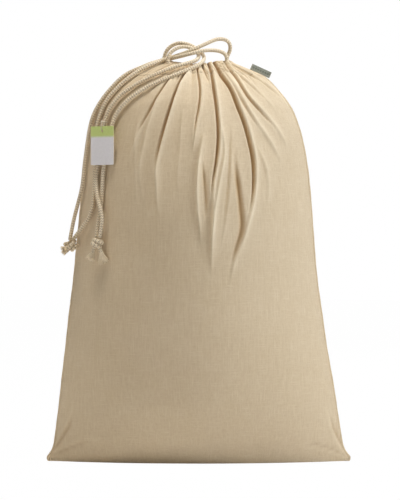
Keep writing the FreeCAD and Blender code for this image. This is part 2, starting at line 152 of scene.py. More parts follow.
def weave_group():
    """Plain weave on a surface's own thread directions: height, and a mask of the slubs."""
    t, given, result = group(
        "plain_weave",
        (("Across", "NodeSocketFloat", 0.0), ("Along", "NodeSocketFloat", 0.0),
         ("Threads per metre", "NodeSocketFloat", 1600.0)),
        (("Height", "NodeSocketFloat"), ("Slub", "NodeSocketFloat")),
    )
    warp = t.math("MULTIPLY", given["Across"], given["Threads per metre"])
    weft = t.math("MULTIPLY", given["Along"], given["Threads per metre"])
    waves = []
    for thread, other in ((warp, weft), (weft, warp)):
        round_thread = t.math("ABSOLUTE", t.math("SINE", t.math("MULTIPLY", thread, math.pi)))
        over = t.math("SINE", t.math("MULTIPLY", other, math.pi))
        row = t.math("COSINE", t.math("MULTIPLY", t.math("FLOOR", thread), math.pi))
        waves.append((round_thread, t.math("MULTIPLY", over, row)))
    up = t.math("MULTIPLY", waves[0][0], t.math("ADD", waves[0][1], 1.2))
    down = t.math("MULTIPLY", waves[1][0], t.math("SUBTRACT", 1.2, waves[1][1]))
    t.link(t.math("MULTIPLY", t.math("MAXIMUM", up, down), 0.45), result["Height"])
    slubs = []
    for first, second, stretch in ((given["Across"], given["Along"], 1.0),
                                   (given["Along"], given["Across"], 1.3)):
        place = t.add("ShaderNodeCombineXYZ")
        t.link(t.math("MULTIPLY", first, 700.0 * stretch), place.inputs[0])
        t.link(t.math("MULTIPLY", second, 38.0), place.inputs[1])
        noise = t.add("ShaderNodeTexNoise", noise_dimensions="2D", Scale=1.0, Detail=2.0, Roughness=0.5)
        t.link(place.outputs[0], noise.inputs["Vector"])
        slubs.append(t.ramp(noise.outputs["Fac"], ((0.52, 0.0), (0.78, 1.0))))
    t.link(t.math("MAXIMUM", slubs[0], slubs[1]), result["Slub"])
    return t.tree


def mottle_group():
    """Soft patches between a darker and a paler colour: handling marks, fibre and grain."""
    t, given, result = group(
        "mottle",
        (("Place", "NodeSocketVector", (0.0, 0.0, 0.0)), ("Scale", "NodeSocketFloat", 24.0),
         ("Detail", "NodeSocketFloat", 4.0), ("Roughness", "NodeSocketFloat", 0.6),
         ("Low", "NodeSocketFloat", 0.3), ("High", "NodeSocketFloat", 0.7),
         ("Darker", "NodeSocketColor", srgb(128, 128, 128)),
         ("Paler", "NodeSocketColor", srgb(255, 255, 255))),
        (("Colour", "NodeSocketColor"), ("Noise", "NodeSocketFloat")),
    )
    noise = t.add("ShaderNodeTexNoise")
    t.link(given["Place"], noise.inputs["Vector"])
    for name in ("Scale", "Detail", "Roughness"):
        t.link(given[name], noise.inputs[name])
    share = t.add("ShaderNodeMapRange")
    t.link(noise.outputs["Fac"], share.inputs["Value"])
    t.link(given["Low"], share.inputs["From Min"])
    t.link(given["High"], share.inputs["From Max"])
    t.link(t.mix(share.outputs["Result"], given["Darker"], given["Paler"]), result["Colour"])
    t.link(noise.outputs["Fac"], result["Noise"])
    return t.tree


WEAVE = weave_group()
MOTTLE = mottle_group()


def mottled(t, place, **values):
    """A mottle over a piece, as a colour and as the noise behind it."""
    node = t.add("ShaderNodeGroup", node_tree=MOTTLE, **values)
    t.link(place, node.inputs["Place"])
    return node.outputs["Colour"], node.outputs["Noise"]


def material(name):
    """A new material, its tree and its shader."""
    made = bpy.data.materials.new(name)
    made.use_nodes = True
    t = Tree(made.node_tree)
    shader = made.node_tree.nodes["Principled BSDF"]
    return made, t, shader


def bumped(t, shader, height, distance, strength, before=None):
    """Relief on a shader, on top of the relief before it."""
    bump = t.add("ShaderNodeBump", Strength=strength, Distance=distance)
    t.link(height, bump.inputs["Height"])
    if before is not None:
        t.link(before, bump.inputs["Normal"])
    t.link(bump.outputs["Normal"], shader.inputs["Normal"])
    return bump.outputs["Normal"]


def cloth_coordinates(t):
    """Thread directions from the piece's own UV map, in metres."""
    layer = t.add("ShaderNodeUVMap", uv_map="threads")
    split = t.add("ShaderNodeSeparateXYZ")
    t.link(layer.outputs[0], split.inputs[0])
    return split.outputs[0], split.outputs[1]


def calico():
    """Unbleached cotton: warm cream, slubby plain weave, faintly mottled and softly creased, with painted
    shade in its folds and painted highlights on their ridges.
    """
    made, t, shader = material("unbleached_calico")
    across, along = cloth_coordinates(t)
    weave = t.add("ShaderNodeGroup", node_tree=WEAVE)
    weave.inputs["Threads per metre"].default_value = 1500.0
    t.link(across, weave.inputs["Across"])
    t.link(along, weave.inputs["Along"])
    place = t.add("ShaderNodeTexCoord").outputs["Object"]
    tone, _ = mottled(t, place, Scale=9.0, Detail=4.0, Roughness=0.6, Low=0.3, High=0.72,
                      Darker=srgb(219, 199, 164), Paler=srgb(229, 210, 178))
    speck, _ = mottled(t, place, Scale=260.0, Detail=3.0, Roughness=0.7, Low=0.35, High=0.62,
                       Darker=srgb(222, 199, 164), Paler=srgb(232, 212, 181))
    tone = t.mix(0.45, tone, speck)
    streak = t.add("ShaderNodeVectorMath", operation="MULTIPLY")
    t.link(place, streak.inputs[0])
    streak.inputs[1].default_value = (420.0, 420.0, 26.0)
    drawn = t.add("ShaderNodeTexNoise", Scale=1.0, Detail=2.0, Roughness=0.6)
    t.link(streak.outputs[0], drawn.inputs["Vector"])
    tone = t.mix(t.ramp(drawn.outputs["Fac"], ((0.40, 0.0), (0.72, 0.20))), tone, srgb(196, 168, 126))
    tone = t.mix(t.math("MULTIPLY", weave.outputs["Slub"], 0.42), tone, srgb(244, 229, 202))
    # Painted shade in the gaps between the threads.
    gaps = t.math("SUBTRACT", 1.0, weave.outputs["Height"], clamp=True)
    tone = t.mix(t.math("MULTIPLY", gaps, 0.20), tone, srgb(150, 126, 90))
    husk = t.add("ShaderNodeTexVoronoi", Scale=130.0)
    t.link(place, husk.inputs["Vector"])
    flecks = t.ramp(husk.outputs["Distance"], ((0.035, 1.0), (0.06, 0.0)))
    tone = t.mix(t.math("MULTIPLY", flecks, 0.35), tone, srgb(150, 120, 84))
    # Painted shade, dark and warm, deep in the folds and gathers, and a painted highlight along their ridges.
    deep = t.add("ShaderNodeAttribute", attribute_name="deep_in_fold").outputs["Fac"]
    tone = t.mix(t.math("MULTIPLY", deep, 0.82, clamp=True), tone, srgb(166, 127, 72))
    tone = t.mix(t.math("MULTIPLY", deep, -0.60, clamp=True), tone, srgb(255, 242, 214))
    t.link(tone, shader.inputs["Base Color"])
    shader.inputs["Roughness"].default_value = 0.68
    shader.inputs["Specular IOR Level"].default_value = 0.34
    shader.inputs["Sheen Weight"].default_value = 0.12
    shader.inputs["Sheen Roughness"].default_value = 0.5
    crease = t.add("ShaderNodeTexNoise", Scale=38.0, Detail=5.0, Roughness=0.62, Distortion=0.6)
    t.link(place, crease.inputs["Vector"])
    soft = bumped(t, shader, crease.outputs["Fac"], 0.0011, 0.35)
    height = t.math("ADD", weave.outputs["Height"], t.math("MULTIPLY", weave.outputs["Slub"], 0.7))
    bumped(t, shader, height, 0.00022, 0.8, soft)
    return made


# A braid's plaits: how far one climbs in a turn of its neighbours, and how many go each way round.
PLAIT_PITCH = 0.0040
PLAITS = 6.0


def braid_height(t, around, along):
    """Raised plaits that cross over and under round a cord, for its finish."""
    turn = t.math("MULTIPLY", around, PLAITS)
    climb = t.math("DIVIDE", along, PLAIT_PITCH)
    left = t.math("ADD", turn, climb)
    right = t.math("SUBTRACT", turn, climb)
    first = t.math("ABSOLUTE", t.math("SINE", t.math("MULTIPLY", left, math.pi)))
    second = t.math("ABSOLUTE", t.math("SINE", t.math("MULTIPLY", right, math.pi)))
    swap = t.math("SINE", t.math("MULTIPLY", t.math("ADD", left, right), math.pi))
    mask = t.math("ADD", t.math("MULTIPLY", swap, 0.5), 0.5)
    return t.math("ADD", t.math("MULTIPLY", first, mask),
                  t.math("MULTIPLY", second, t.math("SUBTRACT", 1.0, mask)))


def cotton_cord():
    """Braided cotton: off-white plaits with shaded gaps and fine fibre."""
    made, t, shader = material("braided_cotton_cord")
    around, along = cloth_coordinates(t)
    plait = braid_height(t, around, along)
    place = t.add("ShaderNodeTexCoord").outputs["Object"]
    tone, _ = mottled(t, place, Scale=24.0, Detail=4.0, Roughness=0.6,
                      Darker=srgb(243, 224, 190), Paler=srgb(254, 241, 214))
    gaps = t.ramp(plait, ((0.18, 1.0), (0.66, 0.0)))
    tone = t.mix(t.math("MULTIPLY", gaps, 0.88), tone, srgb(122, 90, 54))
    fluff, fibre = mottled(t, place, Scale=1500.0, Detail=2.0, Roughness=0.7,
                           Darker=srgb(190, 176, 154), Paler=srgb(250, 247, 240))
    tone = t.mix(0.12, tone, fluff)
    t.link(tone, shader.inputs["Base Color"])
    shader.inputs["Roughness"].default_value = 0.9
    shader.inputs["Specular IOR Level"].default_value = 0.2
    shader.inputs["Sheen Weight"].default_value = 0.15
    height = t.math("ADD", plait, t.math("MULTIPLY", fibre, 0.25))
    bumped(t, shader, height, 0.0005, 0.7)
    return made


def swing_card():
    """Matt card: a plain green band over uncoated off-white, with a paler worn rim."""
    made, t, shader = material("swing_tag_card")
    place = t.add("ShaderNodeTexCoord").outputs["Object"]
    split = t.add("ShaderNodeSeparateXYZ")
    t.link(place, split.inputs[0])
    sideways = t.add("ShaderNodeVectorMath", operation="DOT_PRODUCT")
    t.link(place, sideways.inputs[0])
    sideways.inputs[1].default_value = tuple(TAG_SIDEWAYS)
    middle = float(TAG_SIDEWAYS @ TAG_HOLE) * MM
    off = t.math("ABSOLUTE", t.math("SUBTRACT", sideways.outputs["Value"], middle))
    wobble = t.add("ShaderNodeTexNoise", Scale=900.0, Detail=2.0)
    t.link(place, wobble.inputs["Vector"])
    uneven = t.math("MULTIPLY", t.math("SUBTRACT", wobble.outputs["Fac"], 0.5), 0.0006)
    rim = t.ramp(t.math("MULTIPLY", t.math("ADD", off, uneven), 40.0), ((0.790, 0.0), (0.815, 1.0)))
    foot = float(TAG_HOLE[2] - GREEN_BAND) * MM
    band = t.ramp(t.math("ADD", split.outputs[2], uneven), ((foot - 0.0002, 0.0), (foot + 0.0002, 1.0)))
    paper, grain = mottled(t, place, Scale=420.0, Detail=5.0, Roughness=0.7,
                           Darker=srgb(236, 234, 238), Paler=srgb(245, 243, 246))
    green, _ = mottled(t, place, Scale=420.0, Detail=5.0, Roughness=0.7,
                       Darker=srgb(206, 222, 136), Paler=srgb(216, 231, 150))
    paper = t.mix(t.math("MULTIPLY", rim, 0.6), paper, srgb(238, 228, 214))
    green = t.mix(t.math("MULTIPLY", rim, 0.5), green, srgb(214, 219, 160))
    t.link(t.mix(band, paper, green), shader.inputs["Base Color"])
    t.link(t.ramp(grain, ((0.3, 0.72), (0.7, 0.86))), shader.inputs["Roughness"])
    shader.inputs["Specular IOR Level"].default_value = 0.3
    bumped(t, shader, grain, 0.00008, 0.5)
    return made


def twisted_string():
    """Two-ply string: painted shade in the grooves between the plies, paler on top of each ply."""
    made, t, shader = material("twisted_tag_string")
    around, along = cloth_coordinates(t)
    climb = t.math("ADD", t.math("MULTIPLY", around, 2.0), t.math("MULTIPLY", along, 420.0))
    lay = t.math("SINE", t.math("MULTIPLY", climb, 2 * math.pi))
    # Painted shade in the grooves between the plies, paler on their tops.
    tone = t.mix(t.math("ADD", t.math("MULTIPLY", lay, 0.5), 0.5), srgb(186, 170, 142), srgb(238, 230, 214))
    t.link(tone, shader.inputs["Base Color"])
    shader.inputs["Roughness"].default_value = 0.9
    shader.inputs["Sheen Weight"].default_value = 0.1
    bumped(t, shader, lay, 0.0001, 0.6)
    return made


def woven_tape():
    """Grey-green label tape: fine ribs, darker woven lozenges down the middle and a paler selvedge."""
    made, t, shader = material("woven_label_tape")
    across, along = cloth_coordinates(t)
    rib = t.math("ABSOLUTE", t.math("SINE", t.math("MULTIPLY", across, 2600.0 * math.pi)))
    pick = t.math("ABSOLUTE", t.math("SINE", t.math("MULTIPLY", along, 1700.0 * math.pi)))
    height = t.math("MULTIPLY", rib, pick)
    step = t.math("PINGPONG", across, 0.0021)
    lift = t.math("ABSOLUTE", t.math("SUBTRACT", along, 0.0052))
    lozenge = t.math("MULTIPLY", t.math("ADD", step, lift), 200.0)
    figure = t.ramp(lozenge, ((0.30, 1.0), (0.40, 0.0)))
    inner = t.ramp(lozenge, ((0.10, 1.0), (0.17, 0.0)))
    figure = t.math("SUBTRACT", figure, inner, clamp=True)
    # Painted shade in the dips between the ribs and picks, paler on their tops.
    tone = t.mix(height, srgb(124, 130, 116), srgb(178, 180, 170))
    tone = t.mix(t.math("MULTIPLY", figure, 0.8), tone, srgb(70, 78, 60))
    centred = t.math("ABSOLUTE", t.math("SUBTRACT", across, LABEL_CUT[0] / 2))
    edge = t.ramp(t.math("MULTIPLY", centred, 50.0), ((0.800, 0.0), (0.825, 1.0)))
    tone = t.mix(t.math("MULTIPLY", edge, 0.7), tone, srgb(196, 194, 184))
    t.link(tone, shader.inputs["Base Color"])
    shader.inputs["Roughness"].default_value = 0.7
    shader.inputs["Sheen Weight"].default_value = 0.2
    bumped(t, shader, height, 0.00012, 0.8)
    return made


def sewing_thread():
    """Pale two-ply cotton thread."""
    made, t, shader = material("sewing_thread")
    place = t.add("ShaderNodeTexCoord").outputs["Object"]
    twist = t.add("ShaderNodeTexWave", Scale=900.0, Distortion=2.0)
    t.link(place, twist.inputs["Vector"])
    t.link(t.mix(twist.outputs["Fac"], srgb(214, 198, 168), srgb(244, 234, 214)), shader.inputs["Base Color"])
    shader.inputs["Roughness"].default_value = 0.6
    return made


CALICO = calico()
CORD = cotton_cord()
CARD = swing_card()
STRING = twisted_string()
TAPE = woven_tape()
THREAD = sewing_thread()

# ------------------------------------------------------------------ the filled form
# Height, reach left, reach right and depth of the filled bag, in millimetres.
FORM = np.array((
    (0, 233, 229, 44), (14, 234, 229, 57), (45, 231, 225, 79), (110, 223, 215, 105),
    (200, 213, 200, 119), (313, 200, 185, 124), (420, 190, 177, 121), (506, 180, 166, 107),
    (564, 163, 147, 88), (596, 141, 124, 68), (616, 119, 103.5, 48), (624, 104, 86, 39),
    (632, 84, 66, 29), (638, 60, 48, 20), (641, 48, 44, 13),
), dtype=float)


def form_at(z):
    """Reach left, reach right and depth at heights z, through the stations."""
    heights = FORM[:, 0]
    index = np.clip(np.searchsorted(heights, z, side="right") - 1, 0, len(heights) - 2)
    slopes = np.empty((len(heights), 3))
    slopes[1:-1] = (FORM[2:, 1:] - FORM[:-2, 1:]) / (heights[2:] - heights[:-2])[:, None]
    slopes[0] = (FORM[1, 1:] - FORM[0, 1:]) / (heights[1] - heights[0])
    slopes[-1] = (FORM[-1, 1:] - FORM[-2, 1:]) / (heights[-1] - heights[-2])
    step = (heights[index + 1] - heights[index])[:, None]
    u = np.clip((z - heights[index])[:, None] / step, 0.0, 1.0)
    first, second = FORM[index, 1:], FORM[index + 1, 1:]
    run_a, run_b = slopes[index] * step, slopes[index + 1] * step
    return ((2 * u ** 3 - 3 * u ** 2 + 1) * first + (u ** 3 - 2 * u ** 2 + u) * run_a
            + (3 * u ** 2 - 2 * u ** 3) * second + (u ** 3 - u ** 2) * run_b)


def thread_places(columns):
    """Places from seam to seam, closer together in the middle where the folds run."""
    even_places = np.linspace(0.0, 1.0, columns)
    return even_places + 0.42 / (2 * math.pi) * np.sin(2 * math.pi * even_places)


def distance_along(line):
    """How far each point of a line is from its start, measured along it."""
    return np.concatenate(([0.0], np.cumsum(np.linalg.norm(np.diff(line, axis=0), axis=1))))


def section_rows(z, columns):
    """Level rows of points from left seam to right seam, spaced along the cloth by its thread places."""
    left, right, depth = form_at(z).T
    turn = np.linspace(-math.pi / 2, math.pi / 2, 361)
    spread = np.sin(turn)
    bulge = np.cos(turn).clip(0) ** 1.6
    x = np.where(spread < 0, left[:, None], right[:, None]) * spread
    y = -depth[:, None] * bulge
    steps = np.cumsum(np.hypot(np.diff(x), np.diff(y)), axis=1)
    length = np.concatenate((np.zeros((len(z), 1)), steps), axis=1)
    rows = np.empty((len(z), columns, 2))
    for row in range(len(z)):
        want = length[row, -1] * thread_places(columns)
        rows[row, :, 0] = np.interp(want, length[row], x[row])
        rows[row, :, 1] = np.interp(want, length[row], y[row])
    return rows


# ------------------------------------------------------------------ folds in the cloth
def smooth_line(points, count=90):
    """Evenly spaced places along a soft line through a few given ones."""
    points = np.array(points, dtype=float)
    padded = np.vstack((2 * points[0] - points[1], points, 2 * points[-1] - points[-2]))
    out = []
    for a, b, c, d in zip(padded, padded[1:], padded[2:], padded[3:]):
        for u in np.linspace(0.0, 1.0, 20, endpoint=False):
            out.append(0.5 * (2 * b + (c - a) * u + (2 * a - 5 * b + 4 * c - d) * u ** 2
                              + (3 * b - a - 3 * c + d) * u ** 3))
    out = np.array(out + [points[-1]])
    run = distance_along(out)
    want = np.linspace(0.0, run[-1], count)
    return np.stack([np.interp(want, run, out[:, axis]) for axis in (0, 1)], axis=1)


def crest(off, inner, outer):
    """A ridge as seen across it, 1 high: a rounded top that falls off over inner and outer reaches."""
    reach = np.where(off < 0, inner, outer)
    # 0.894 is the root of 0.8, which rounds the top.
    return np.exp(-(np.sqrt(off ** 2 + 0.8) - 0.894) / reach)


def fold(x, z, points, width, depth, left, right, tip, start):
    """Height of one long fold, with painted shade in its tight valley and a painted highlight along the two
    ridges beside it, which meet at its tip and run on as one. Its places are across and up the bag in
    millimetres, tip is the valley's share of the whole run, and start is how strong the fold already is where
    it begins."""
    line = smooth_line(points)
    way = np.gradient(line, axis=0)
    way /= np.linalg.norm(way, axis=1)[:, None]
    near = ((x[..., None] - line[:, 0]) ** 2 + (z[..., None] - line[:, 1]) ** 2).argmin(-1)
    dx, dz = x - line[near, 0], z - line[near, 1]
    side = dz * way[near, 0] - dx * way[near, 1]
    at_an_end = (near == 0) | (near == len(line) - 1)
    past = np.where(at_an_end, np.abs(dx * way[near, 0] + dz * way[near, 1]), 0.0)
    share = near / (len(line) - 1)
    inside = share / tip
    w = width * np.interp(inside, (0.0, 0.3, 0.7, 1.0, 1.3), (0.55, 0.68, 0.80, 0.55, 0.30))
    dip = depth * np.interp(inside, (0.0, 0.2, 0.6, 0.85, 1.0), (start, 1.0, 0.9, 0.6, 0.0))
    high = right * np.interp(share, (0.0, 0.2, tip, 0.5 + 0.5 * tip, 1.0), (start, 1.0, 0.95, 0.6, 0.0))
    low = left * np.interp(inside, (0.0, 0.4, 0.9, 1.0, 1.12), (0.3 * start, 0.7, 1.0, 0.8, 0.0))
    right_crest = high * crest(side - w, 0.55 * w, 0.6 * width + 3.2)
    left_crest = low * crest(-side - w, 0.5 * w, 0.5 * width + 2.6)
    ridges = right_crest + left_crest
    valley = dip * np.exp(-np.abs(side / (0.78 * w)) ** 1.7)
    ends = np.exp(-(past / (1.5 * width)) ** 2)
    # The second result is colour, not shape: painted shade in the valley and a painted highlight along the
    # ridges.
    bright = high * crest(side - w - 0.7, 0.9, 2.6) + low * crest(-side - w + 0.5, 0.7, 1.1)
    return (ridges - valley) * ends, (1.25 * valley - 0.85 * bright) * ends


def pleat_edges(count, dice):
    """Uneven pleat borders along the gathered cloth, from 0 to 1."""
    widths = dice.uniform(0.55, 1.5, count)
    return np.concatenate(([0.0], np.cumsum(widths) / widths.sum()))


def pleats(u, edges, dice, sharp):
    """Rounded pleats with tight valleys between uneven borders."""
    index = np.clip(np.searchsorted(edges, u, side="right") - 1, 0, len(edges) - 2)
    inner = (u - edges[index]) / (edges[index + 1] - edges[index])
    tall = dice.uniform(0.55, 1.15, len(edges) - 1)
    lean = dice.uniform(-0.16, 0.16, len(edges) - 1)
    inner = inner + lean[index] * np.sin(math.pi * inner)
    return tall[index] * np.sin(math.pi * np.clip(inner, 0.0, 1.0)) ** sharp - 0.45


def rise(value, low, high):
    """0 below low, 1 above high, with soft ends."""
    u = np.clip((value - low) / (high - low), 0.0, 1.0)
    return u * u * (3 - 2 * u)


def slow_waves(x, z, dice, count, shortest, longest):
    """Soft unevenness: a few level waves that run across each other, about 1 high."""
    total = np.zeros_like(x)
    for _ in range(count):
        turn = dice.uniform(0, math.pi)
        pitch = dice.uniform(shortest, longest)
        forward = x * math.cos(turn) + z * math.sin(turn)
        total += np.sin(forward * 2 * math.pi / pitch + dice.uniform(0, 6.28))
    return total / math.sqrt(count)


FRONT_FOLDS = (
    # places, width, depth, left ridge, right ridge, tip, start
    (((-40, 617), (-54, 600), (-70, 575), (-83, 551), (-94, 531), (-103, 510), (-108, 490), (-111, 465)),
      3.6, 5.2, 2.2, 3.6, 0.66, 0.6),
    (((-9, 645), (-16, 626), (-29, 607), (-39, 585), (-49, 554), (-58, 523), (-66, 490), (-70, 464),
      (-69, 440), (-67, 412), (-63, 380)), 3.9, 6.4, 3.0, 5.2, 0.69, 0.9),
    (((-8, 647), (-4, 621), (0, 590), (-2, 562), (-6, 540), (-10, 512), (-13, 490)), 3.2, 4.4, 2.2, 3.0,
      0.82, 1.0),
    (((10, 647), (15, 630), (21, 595), (26, 556), (28, 516), (25, 480), (20, 449), (18, 428), (18, 390),
      (17, 350), (17, 300)), 4.2, 6.6, 3.4, 5.4, 0.64, 1.0),
    (((18, 647), (25, 630), (35, 610), (48, 590), (59, 562), (69, 536), (77, 505), (82, 475), (82, 441),
      (79, 416), (73, 388), (64, 356), (52, 326), (46, 296)), 4.5, 8.0, 3.4, 6.0, 0.71, 1.0),
    (((32, 647), (44, 624), (58, 604), (74, 580), (90, 562), (103, 548), (118, 531), (130, 514),
      (138, 500)), 3.6, 5.0, 2.4, 4.2, 0.8, 1.0),
    (((26, 640), (34, 620), (48, 600), (66, 570), (84, 541), (103, 516), (122, 487), (130, 470)), 3.8,
      2.8, 1.6, 4.2, 0.66, 0.8),
    (((40, 645), (50, 632), (71, 621), (89, 612), (110, 598), (130, 580), (143, 560)), 2.8, 2.8, 1.4, 2.2,
      0.8, 0.9),
    (((36, 645), (46, 626), (66, 610), (88, 592), (108, 572), (120, 560)), 2.8, 2.4, 1.2, 2.2, 0.8, 0.9),
    (((1, 510), (-5, 476), (-8, 441), (-6, 403), (-2, 376), (0, 346)), 4.6, 0.3, 0.0, 5.4, 0.6, 0.4),
    (((4, 470), (7, 440), (9, 410), (9, 380)), 5.0, 2.6, 0.6, 0.4, 0.9, 0.3),
    (((33, 520), (35, 490), (27, 446), (21, 403), (17, 352), (15, 300)), 3.8, 0.4, 0.0, 4.4, 0.5, 0.3),
    (((47, 520), (45, 480), (42, 430), (36, 380), (31, 340)), 5.0, 1.6, 0.4, 1.2, 0.8, 0.2),
    (((54, 480), (59, 440), (63, 405), (65, 372), (57, 343), (49, 316), (45, 286)), 6.8, 4.2, 0.6, 1.4,
      0.85, 0.2),
    (((86, 500), (98, 470), (104, 440), (104, 410)), 4.6, 0.8, 0.0, 2.4, 0.6, 0.2),
    (((-67, 584), (-76, 556), (-86, 526), (-91, 500), (-95, 474), (-95, 450), (-90, 415)), 3.6, 0.8, 0.0,
      3.0, 0.6, 0.4),
    (((-100, 540), (-104, 505), (-103, 480), (-101, 430), (-98, 400)), 4.0, 0.8, 0.0, 2.4, 0.6, 0.3),
    (((-30, 560), (-35, 510), (-37, 460), (-35, 420)), 6.0, 0.3, 0.0, 1.0, 0.6, 0.2),
    (((-46, 614), (-58, 606), (-70, 597), (-84, 582)), 3.0, 2.4, 1.2, 2.4, 0.8, 0.6),
    (((-44, 636), (-74, 620), (-106, 594), (-128, 568)), 3.2, 2.2, 1.0, 1.8, 0.8, 0.8),
    (((-18, 640), (-24, 622), (-34, 600), (-38, 586)), 2.4, 2.6, 1.4, 2.0, 0.8, 0.9),
    (((2, 645), (6, 624), (13, 604), (17, 590)), 2.4, 3.4, 1.4, 2.2, 0.8, 1.0),
    (((26, 647), (36, 624), (50, 602), (58, 588)), 2.4, 3.2, 1.2, 2.2, 0.8, 1.0),
    (((-238, 14), (-226, 30), (-208, 58), (-196, 90)), 5.0, 1.8, 0.8, 1.6, 0.8, 0.6),
    (((-236, 10), (-214, 20), (-184, 32), (-150, 36)), 5.0, 1.3, 0.8, 1.3, 0.8, 0.6),
    (((236, 14), (224, 34), (212, 62), (204, 92)), 5.0, 2.0, 0.8, 1.8, 0.8, 0.6),
    (((236, 9), (212, 20), (182, 30), (148, 32)), 5.0, 1.3, 0.8, 1.3, 0.8, 0.6),
)
BACK_FOLDS = (
    (((-30, 622), (-52, 584), (-70, 548), (-84, 500), (-90, 450), (-92, 400), (-88, 350)), 3.8, 5.0, 2.0,
      3.6, 0.66, 0.8),
    (((-8, 622), (-16, 584), (-22, 540), (-22, 490), (-18, 440), (-14, 390)), 3.6, 4.4, 2.0, 3.2, 0.66,
      0.8),
    (((12, 622), (22, 590), (34, 548), (40, 500), (38, 450), (30, 380), (24, 330)), 4.0, 5.2, 2.2, 3.6,
      0.62, 0.8),
    (((34, 618), (58, 586), (80, 550), (98, 506), (104, 470), (104, 430)), 3.8, 4.2, 1.8, 3.2, 0.66, 0.8),
    (((-50, 616), (-82, 588), (-112, 552), (-128, 520)), 3.6, 3.2, 1.4, 2.6, 0.74, 0.8),
    (((46, 624), (84, 602), (118, 570), (134, 540)), 3.4, 2.6, 1.2, 2.2, 0.74, 0.8),
    (((-46, 500), (-50, 430), (-44, 360), (-36, 300)), 6.0, 1.4, 0.6, 2.0, 0.6, 0.2),
    (((70, 480), (66, 410), (56, 350)), 6.0, 1.2, 0.6, 1.8, 0.6, 0.2),
    (((-236, 12), (-216, 34), (-198, 70)), 5.0, 1.6, 0.8, 1.4, 0.8, 0.6),
    (((236, 12), (216, 30), (190, 56)), 5.0, 1.6, 0.8, 1.4, 0.8, 0.6),
)


def ear_reach(z):
    """How far the pinched bottom corners stand out of the side seams."""
    return np.interp(z, (0.0, 2.5, 6.0, 11.0, 17.0, 24.0, 30.0), (8.0, 10.5, 11.0, 7.0, 3.0, 0.8, 0.0))


def bag_surface(rows, columns, side):
    """Points, outward normals, and places across the cloth, of half the filled bag. The front is side -1."""
    z = np.array([row[0] for row in rows], dtype=float)
    share = np.array([row[1] for row in rows], dtype=float)
    narrow = np.array([row[2] for row in rows], dtype=float)
    flat = section_rows(np.minimum(z, TOP), columns)
    x, y = flat[..., 0] * narrow[:, None], flat[..., 1] * share[:, None]
    heights = np.repeat(z[:, None], columns, axis=1)
    left, right, _ = form_at(np.minimum(z, TOP)).T
    reach = np.where(x < 0, left[:, None], right[:, None])
    x = x + np.sign(x) * ear_reach(z)[:, None] * rise(np.abs(x) / reach, 0.90, 1.0)
    y = np.minimum(y, -SEAM_GAP) * -side
    points = np.stack((x, y, heights), axis=-1)
    across = np.gradient(points, axis=1)
    up = np.gradient(points, axis=0)
    normal = np.cross(across, up) * -side
    normal /= np.linalg.norm(normal, axis=-1)[..., None] + 1e-9
    u = np.repeat(thread_places(columns)[None, :], len(z), axis=0)
    return points, normal, u


# How many pleats the cords draw each side into, and how tall they are, singly, in twos and in fours.
PLEATS = 28
FINE_PLEAT, PAIRED_PLEAT, BROAD_PLEAT = 2.7, 1.5, 1.1
# How deep the stitches pull the hem in, and how many puffs they leave along it.
STITCH_GROOVE, PUFFS = 0.7, 52.0
# Where the middle of the mouth is, how far its edge sags there, and the bumps of cloth over the two
# places where the cords come out: place across, reach and height.
MOUTH_MIDDLE, MOUTH_SAG = -4.0, 5.5
CORD_MOUTHS = ((-51, 6.5, 4.0), (44, 5.5, 3.0))


def cloth_height(points, u, side):
    """How far the cloth stands off the filled form, and its painted shade in the folds, from -1 to 1, where
    below 0 is a painted highlight on their ridges.
    """
    x, z = points[..., 0], points[..., 2]
    dice = np.random.default_rng(5 if side < 0 else 23)
    edges = pleat_edges(PLEATS, dice)
    fine = pleats(u, edges, dice, 0.7)
    paired = pleats(u, edges[::2], dice, 0.8)
    broad = pleats(u, edges[::4], dice, 0.9)
    height = FINE_PLEAT * fine * rise(z, 590, 620)
    height += PAIRED_PLEAT * paired * rise(z, 556, 606) * (1 - 0.4 * rise(z, 618, 640))
    height += BROAD_PLEAT * broad * rise(z, 470, 580) * (1 - rise(z, 600, 628))
    shoulder = rise(np.abs(x - MOUTH_MIDDLE), 66, 130)
    height *= 1 - 0.45 * shoulder
    # Painted shade in the valleys of the gathered pleats near the mouth, and a painted highlight on their
    # tops.
    deep = 4.0 * (0.12 - fine) * rise(z, 596, 622) * (1 - 0.6 * shoulder)
    for places, *shape in (FRONT_FOLDS if side < 0 else BACK_FOLDS):
        folded, shade = fold(x, z, places, *shape)
        height += folded
        deep += shade
    calm = 1 - rise(z, 560, 610)
    height += 0.9 * calm * slow_waves(x, z, dice, 9, 120, 300)
    height += 0.22 * slow_waves(x, z, dice, 14, 22, 60) * (0.35 + 0.65 * rise(60 - z, 0, 50))
    height -= STITCH_GROOVE * np.exp(-((z - HEM_FOOT) / 1.4) ** 2)
    puff = np.sin(u * 2 * math.pi * PUFFS)
    height += 0.25 * puff * np.exp(-((z - HEM_FOOT) / 3.5) ** 2)
    if side < 0:
        under_cords = rise(-x, 50, 90) * rise(z, 500, 560)
        height = np.where(height > 0, height * (1 - 0.6 * under_cords), height)
    for middle, reach, lift in CORD_MOUTHS:
        height += lift * np.exp(-((x - middle) / reach) ** 2 - ((z - 640) / 3.5) ** 2)
    from_seam = np.minimum(u, 1 - u)
    return height * rise(from_seam, 0.0, 0.022), np.clip(deep / 5.0, -1.0, 1.0)


